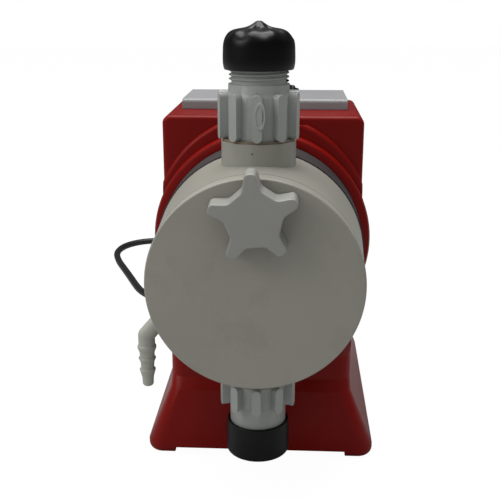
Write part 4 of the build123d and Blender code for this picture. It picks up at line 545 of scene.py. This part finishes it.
def wire_ring(form, radius, wire_r):
    """A flat ring of round wire about the z axis, in the bmesh."""
    section = bmesh.ops.create_circle(form, cap_ends=False, segments=8, radius=wire_r)
    aside = Matrix.Translation((radius, 0, 0))
    bmesh.ops.transform(form, matrix=aside @ UPRIGHT, verts=section["verts"])
    ring_lines = [line for line in form.edges if line.verts[0] in section["verts"]]
    bmesh.ops.spin(form, geom=section["verts"] + ring_lines, cent=(0, 0, 0), axis=(0, 0, 1),
                   angle=2 * math.pi, steps=36, use_merge=True)


mark = bmesh.new()
wire_ring(mark, MARK_R, MARK_WIRE_R)
stretch = Matrix.Diagonal((1, MARK_TALL, 1, 1))
bmesh.ops.transform(mark, matrix=Matrix.Translation(MARK_AT) @ UPRIGHT @ stretch, verts=mark.verts)
mould_mark = new_piece("mould_mark", mark, VALVE)

speck = bmesh.new()
bmesh.ops.create_cone(speck, cap_ends=True, segments=16, radius1=SPECK_R, radius2=SPECK_R, depth=SPECK_T)
bmesh.ops.transform(speck, matrix=Matrix.Translation(SPECK_AT) @ UPRIGHT, verts=speck.verts)
SOIL = moulded("seam_soil", shade(66, 52, 38), 0.7, clouds=0.3, cloud_size=4)
boss_speck = new_piece("boss_speck", speck, SOIL)


HEAD_FRONT_Y, HEAD_FRONT_R = -123.8, 47.3
SEAM_W, SEAM_SINK, SEAM_RISE = 0.3, 0.3, 0.03


def seam(name, y, radius, width, look):
    """A thin dark line round the drive axis. Sizes are in millimetres."""
    form = bmesh.new()
    half = width / 2
    inner, outer = radius - SEAM_SINK, radius + SEAM_RISE
    corners = ((inner, -half), (outer, -half), (outer, half), (inner, half))
    points = [form.verts.new((0, (y + dy) * MM, DRIVE_Z + r * MM)) for r, dy in corners]
    lines = [form.edges.new((points[i], points[(i + 1) % 4])) for i in range(4)]
    bmesh.ops.spin(form, geom=points + lines, cent=(0, 0, DRIVE_Z), axis=(0, 1, 0),
                   angle=2 * math.pi, steps=160, use_merge=True)
    return new_piece(name, form, look)


cover_seam = seam("cover_seam", HEAD_FRONT_Y, HEAD_FRONT_R, SEAM_W, SOIL)
print("marks:", mould_mark.name, boss_speck.name, cover_seam.name)

# %% [markdown]
# ## Controls
# The grey panel on the slope carries the stroke dial, the rate knob and three
# signal lamps, green, yellow and red.

# %% Controls
finished("control_panel", PANEL, edge=0.8, segments=3)
finished("dial_scale", PANEL, edge=0.15)
finished("stroke_dial", DIAL, edge=0.4)
finished("rate_knob", DIAL, edge=0.4)
plain(DARK, "rate_switch")
finished("lamp_green", LENS_GREEN, edge=0.0)
finished("lamp_yellow", LENS_YELLOW, edge=0.0)
finished("lamp_red", LENS_RED, edge=0.0)
print("materials:", len(bpy.data.materials))

# %% [markdown]
# ## Rear fittings
# Two signal sockets, a blank plug and the mains lead's gland sit in the rear
# cover. The mains plug lies at the far end of the lead.

# %% Rear fittings
finished("control_socket", DARK, edge=0.2)
finished("level_socket", DARK, edge=0.2)
finished("option_blank", DARK, edge=0.3)
finished("mains_gland", RUBBER, edge=0.3)
plug = finished("mains_plug", RUBBER, edge=0.4)
print("plug faces:", len(plug.data.polygons))

# %% [markdown]
# ## Inner pieces
# The drive inside the housing keeps its exact solids, each with its metal or
# plastic.

# %% Inner pieces
plain(STEEL, "magnet_shell", "magnet_front", "armature", "push_rod", "return_spring")
plain(STEEL, "head_screws", "dial_shaft")
plain(COPPER, "coil_winding")
plain(BRASS, "rod_bushes")
plain(DARK, "coil_bobbin", "board_parts")
plain(BOARD, "circuit_board")
plain(RUBBER, "stop_ring", "bleed_seal")
print("solids with a finish:", sum(1 for item in nodes.values() if item.data.materials))

# %% [markdown]
# ## Mains lead
# One smooth spline with the points of the lead's route: out of the gland, down
# to the table, out to the left and back, then six turns of a neat coil. A
# spline of order 3 passes close to its points without a kink.

# %% Mains lead
CORD_R = 2.9
CORD_D = 2 * CORD_R * MM
ROUTE_Z = 3.0           # middle of the lead where it lies on the table
WOUND_X, WOUND_Y = 4.0, 214.0
WOUND_MID_R = 35.0
STUB = 22               # straight piece into and out of the coil
NESTED = 0.4            # how far the stub starts inside the outer turns
STUB_OUT_Z = 8.7
HEADING = math.radians(-58.0)
lead = Vector((math.cos(HEADING), math.sin(HEADING), 0))
side = Vector((-lead.y, lead.x, 0))
turn_r = WOUND_MID_R + CORD_R - NESTED
touch = Vector((WOUND_X, WOUND_Y, 0)) - side * turn_r
lead_in = touch - lead * STUB + Vector((0, 0, ROUTE_Z))
lead_out = touch + lead * STUB + Vector((0, 0, STUB_OUT_Z))
route = [
    Vector(point)
    for point in (
        (0.0, 108.0, 50.0),
        (0.0, 122.5, 50.0),
        (-5.0, 138.5, 47.0),
        (-17.5, 149.5, 39.5),
        (-33.5, 153.5, 29.0),
        (-51.5, 154.0, 16.5),
        (-67.0, 153.0, 7.6),
        (-82.5, 153.0, 3.3),
        (-96.2, 157.3, ROUTE_Z),
        (-106.0, 167.5, ROUTE_Z),
        (-112.5, 180.5, ROUTE_Z),
        (-119.8, 198.0, ROUTE_Z),
        (-130.5, 223.0, ROUTE_Z),
        (-142.0, 249.0, ROUTE_Z),
        (-149.5, 276.0, ROUTE_Z),
        (-143.5, 301.0, ROUTE_Z),
        (-123.0, 315.5, ROUTE_Z),
        (-98.0, 313.0, ROUTE_Z),
        (-79.0, 297.0, ROUTE_Z),
        (-68.0, 270.0, ROUTE_Z),
    )
]
RUN_UP = 30
route.append(lead_in - lead * RUN_UP)
route.append(lead_in)
start_angle = math.atan2(touch.y - WOUND_Y, touch.x - WOUND_X)
OUTER, INNER = WOUND_MID_R + CORD_R, WOUND_MID_R - CORD_R
LOW, MIDDLE, HIGH = 3.0, 8.8, 14.6
slots = ((OUTER, LOW), (INNER, LOW), (INNER, MIDDLE), (INNER, HIGH), (OUTER, HIGH), (OUTER, MIDDLE))
TURNS = len(slots)
PER_TURN = 18
STEP_OVER = 0.78        # share of a turn after which the lead moves to its next place
for step in range(TURNS * PER_TURN + 1):
    turn, share = divmod(step / PER_TURN, 1.0)
    turn = int(turn)
    here = slots[min(turn, TURNS - 1)]
    after = slots[min(turn + 1, TURNS - 1)]
    move = max(0.0, (share - STEP_OVER) / (1 - STEP_OVER))
    radius = (here[0] + (after[0] - here[0]) * move) / math.cos(math.pi / PER_TURN)
    height = here[1] + (after[1] - here[1]) * move
    angle = start_angle + 2 * math.pi * step / PER_TURN
    route.append(Vector((WOUND_X + radius * math.cos(angle), WOUND_Y + radius * math.sin(angle), height)))
TAIL_PARTS, TAIL_PART_L, TAIL_TURN = 3, 12, math.radians(19)
tail_end = lead_out.copy()
route.append(tail_end)
heading = lead.copy()
for _ in range(TAIL_PARTS):
    tail_end = tail_end + heading * TAIL_PART_L
    route.append(tail_end)
    heading.rotate(Matrix.Rotation(TAIL_TURN, 3, "Z"))

cord_curve = bpy.data.curves.new("mains_lead", "CURVE")
cord_curve.dimensions = "3D"
spline = cord_curve.splines.new("NURBS")
spline.points.add(len(route) - 1)
for point, place in zip(spline.points, route):
    point.co = (*(place * MM), 1)
spline.order_u = 3
spline.use_endpoint_u = True
spline.resolution_u = 6
cord_curve.bevel_depth = CORD_D / 2
cord_curve.bevel_resolution = 4
cord_curve.use_fill_caps = True
mains_lead = placed("mains_lead", cord_curve)
cord_curve.materials.append(RUBBER)
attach(mains_lead, "pump")
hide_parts("power_cord", "cord_coil", "cord_tail")
print("lead points:", len(route))

# %% [markdown]
# ## Tie and dial marks
# A flat black tie holds the coil together. The stroke dial has eleven marks
# round it, over three quarters of a turn.

# %% Tie and dial marks
TIE_SIZE = Vector((12.2, 5.0, 17.9)) * MM       # across the turns, along them, up
TIE_CORNER, TIE_T = 3.5 * MM, 0.5 * MM
TIE_Z = 9.05
tie_form = bmesh.new()
bmesh.ops.create_cube(tie_form, size=1.0)
tie_size = Matrix.Diagonal((*TIE_SIZE, 1))
bmesh.ops.transform(tie_form, matrix=tie_size, verts=tie_form.verts)
ends = [face for face in tie_form.faces if abs(face.normal.y) > 0.5]
bmesh.ops.delete(tie_form, geom=ends, context="FACES")
long_edges = [edge for edge in tie_form.edges if abs(edge.verts[0].co.y - edge.verts[1].co.y) > MM]
bmesh.ops.bevel(tie_form, geom=long_edges, affect="EDGES", offset=TIE_CORNER, segments=6,
                profile=0.5, material=-1)
bmesh.ops.recalc_face_normals(tie_form, faces=tie_form.faces)
bmesh.ops.solidify(tie_form, geom=tie_form.faces[:], thickness=TIE_T)
tie_angle = start_angle + math.pi
tie_x = WOUND_X + WOUND_MID_R * math.cos(tie_angle)
tie_y = WOUND_Y + WOUND_MID_R * math.sin(tie_angle)
tie_at = Vector((tie_x, tie_y, TIE_Z))
tie_place = Matrix.Translation(tie_at * MM) @ Matrix.Rotation(tie_angle, 4, "Z")
bmesh.ops.transform(tie_form, matrix=tie_place, verts=tie_form.verts)
coil_tie = new_piece("coil_tie", tie_form, DARK)

RIDGE = Vector((0, 22.0, 181.4)) * MM           # the panel's ridge over the slope
SLOPE = math.radians(-30)
DIAL_DOWN, SCALE_T, TICK_R = 28 * MM, 0.8 * MM, 22.2 * MM
TICKS, FIRST_TICK, TICK_APART = 11, -135, 27    # degrees
TICK_SIZE = Vector((0.5, 2.4, 0.12)) * MM
slope_frame = Matrix.Translation(RIDGE) @ Matrix.Rotation(SLOPE, 4, "X")
ticks = bmesh.new()
for tick in range(TICKS):
    angle = math.radians(FIRST_TICK + TICK_APART * tick)
    made = bmesh.ops.create_cube(ticks, size=1.0)["verts"]
    shape = Matrix.Diagonal((*TICK_SIZE, 1))
    centre = Matrix.Translation((0, DIAL_DOWN, SCALE_T)) @ Matrix.Rotation(angle, 4, "Z")
    outward = Matrix.Translation((0, TICK_R, 0))
    bmesh.ops.transform(ticks, matrix=slope_frame @ centre @ outward @ shape, verts=made)
dial_ticks = new_piece("dial_ticks", ticks, DARK)
print("tie and ticks:", coil_tie.name, dial_ticks.name)
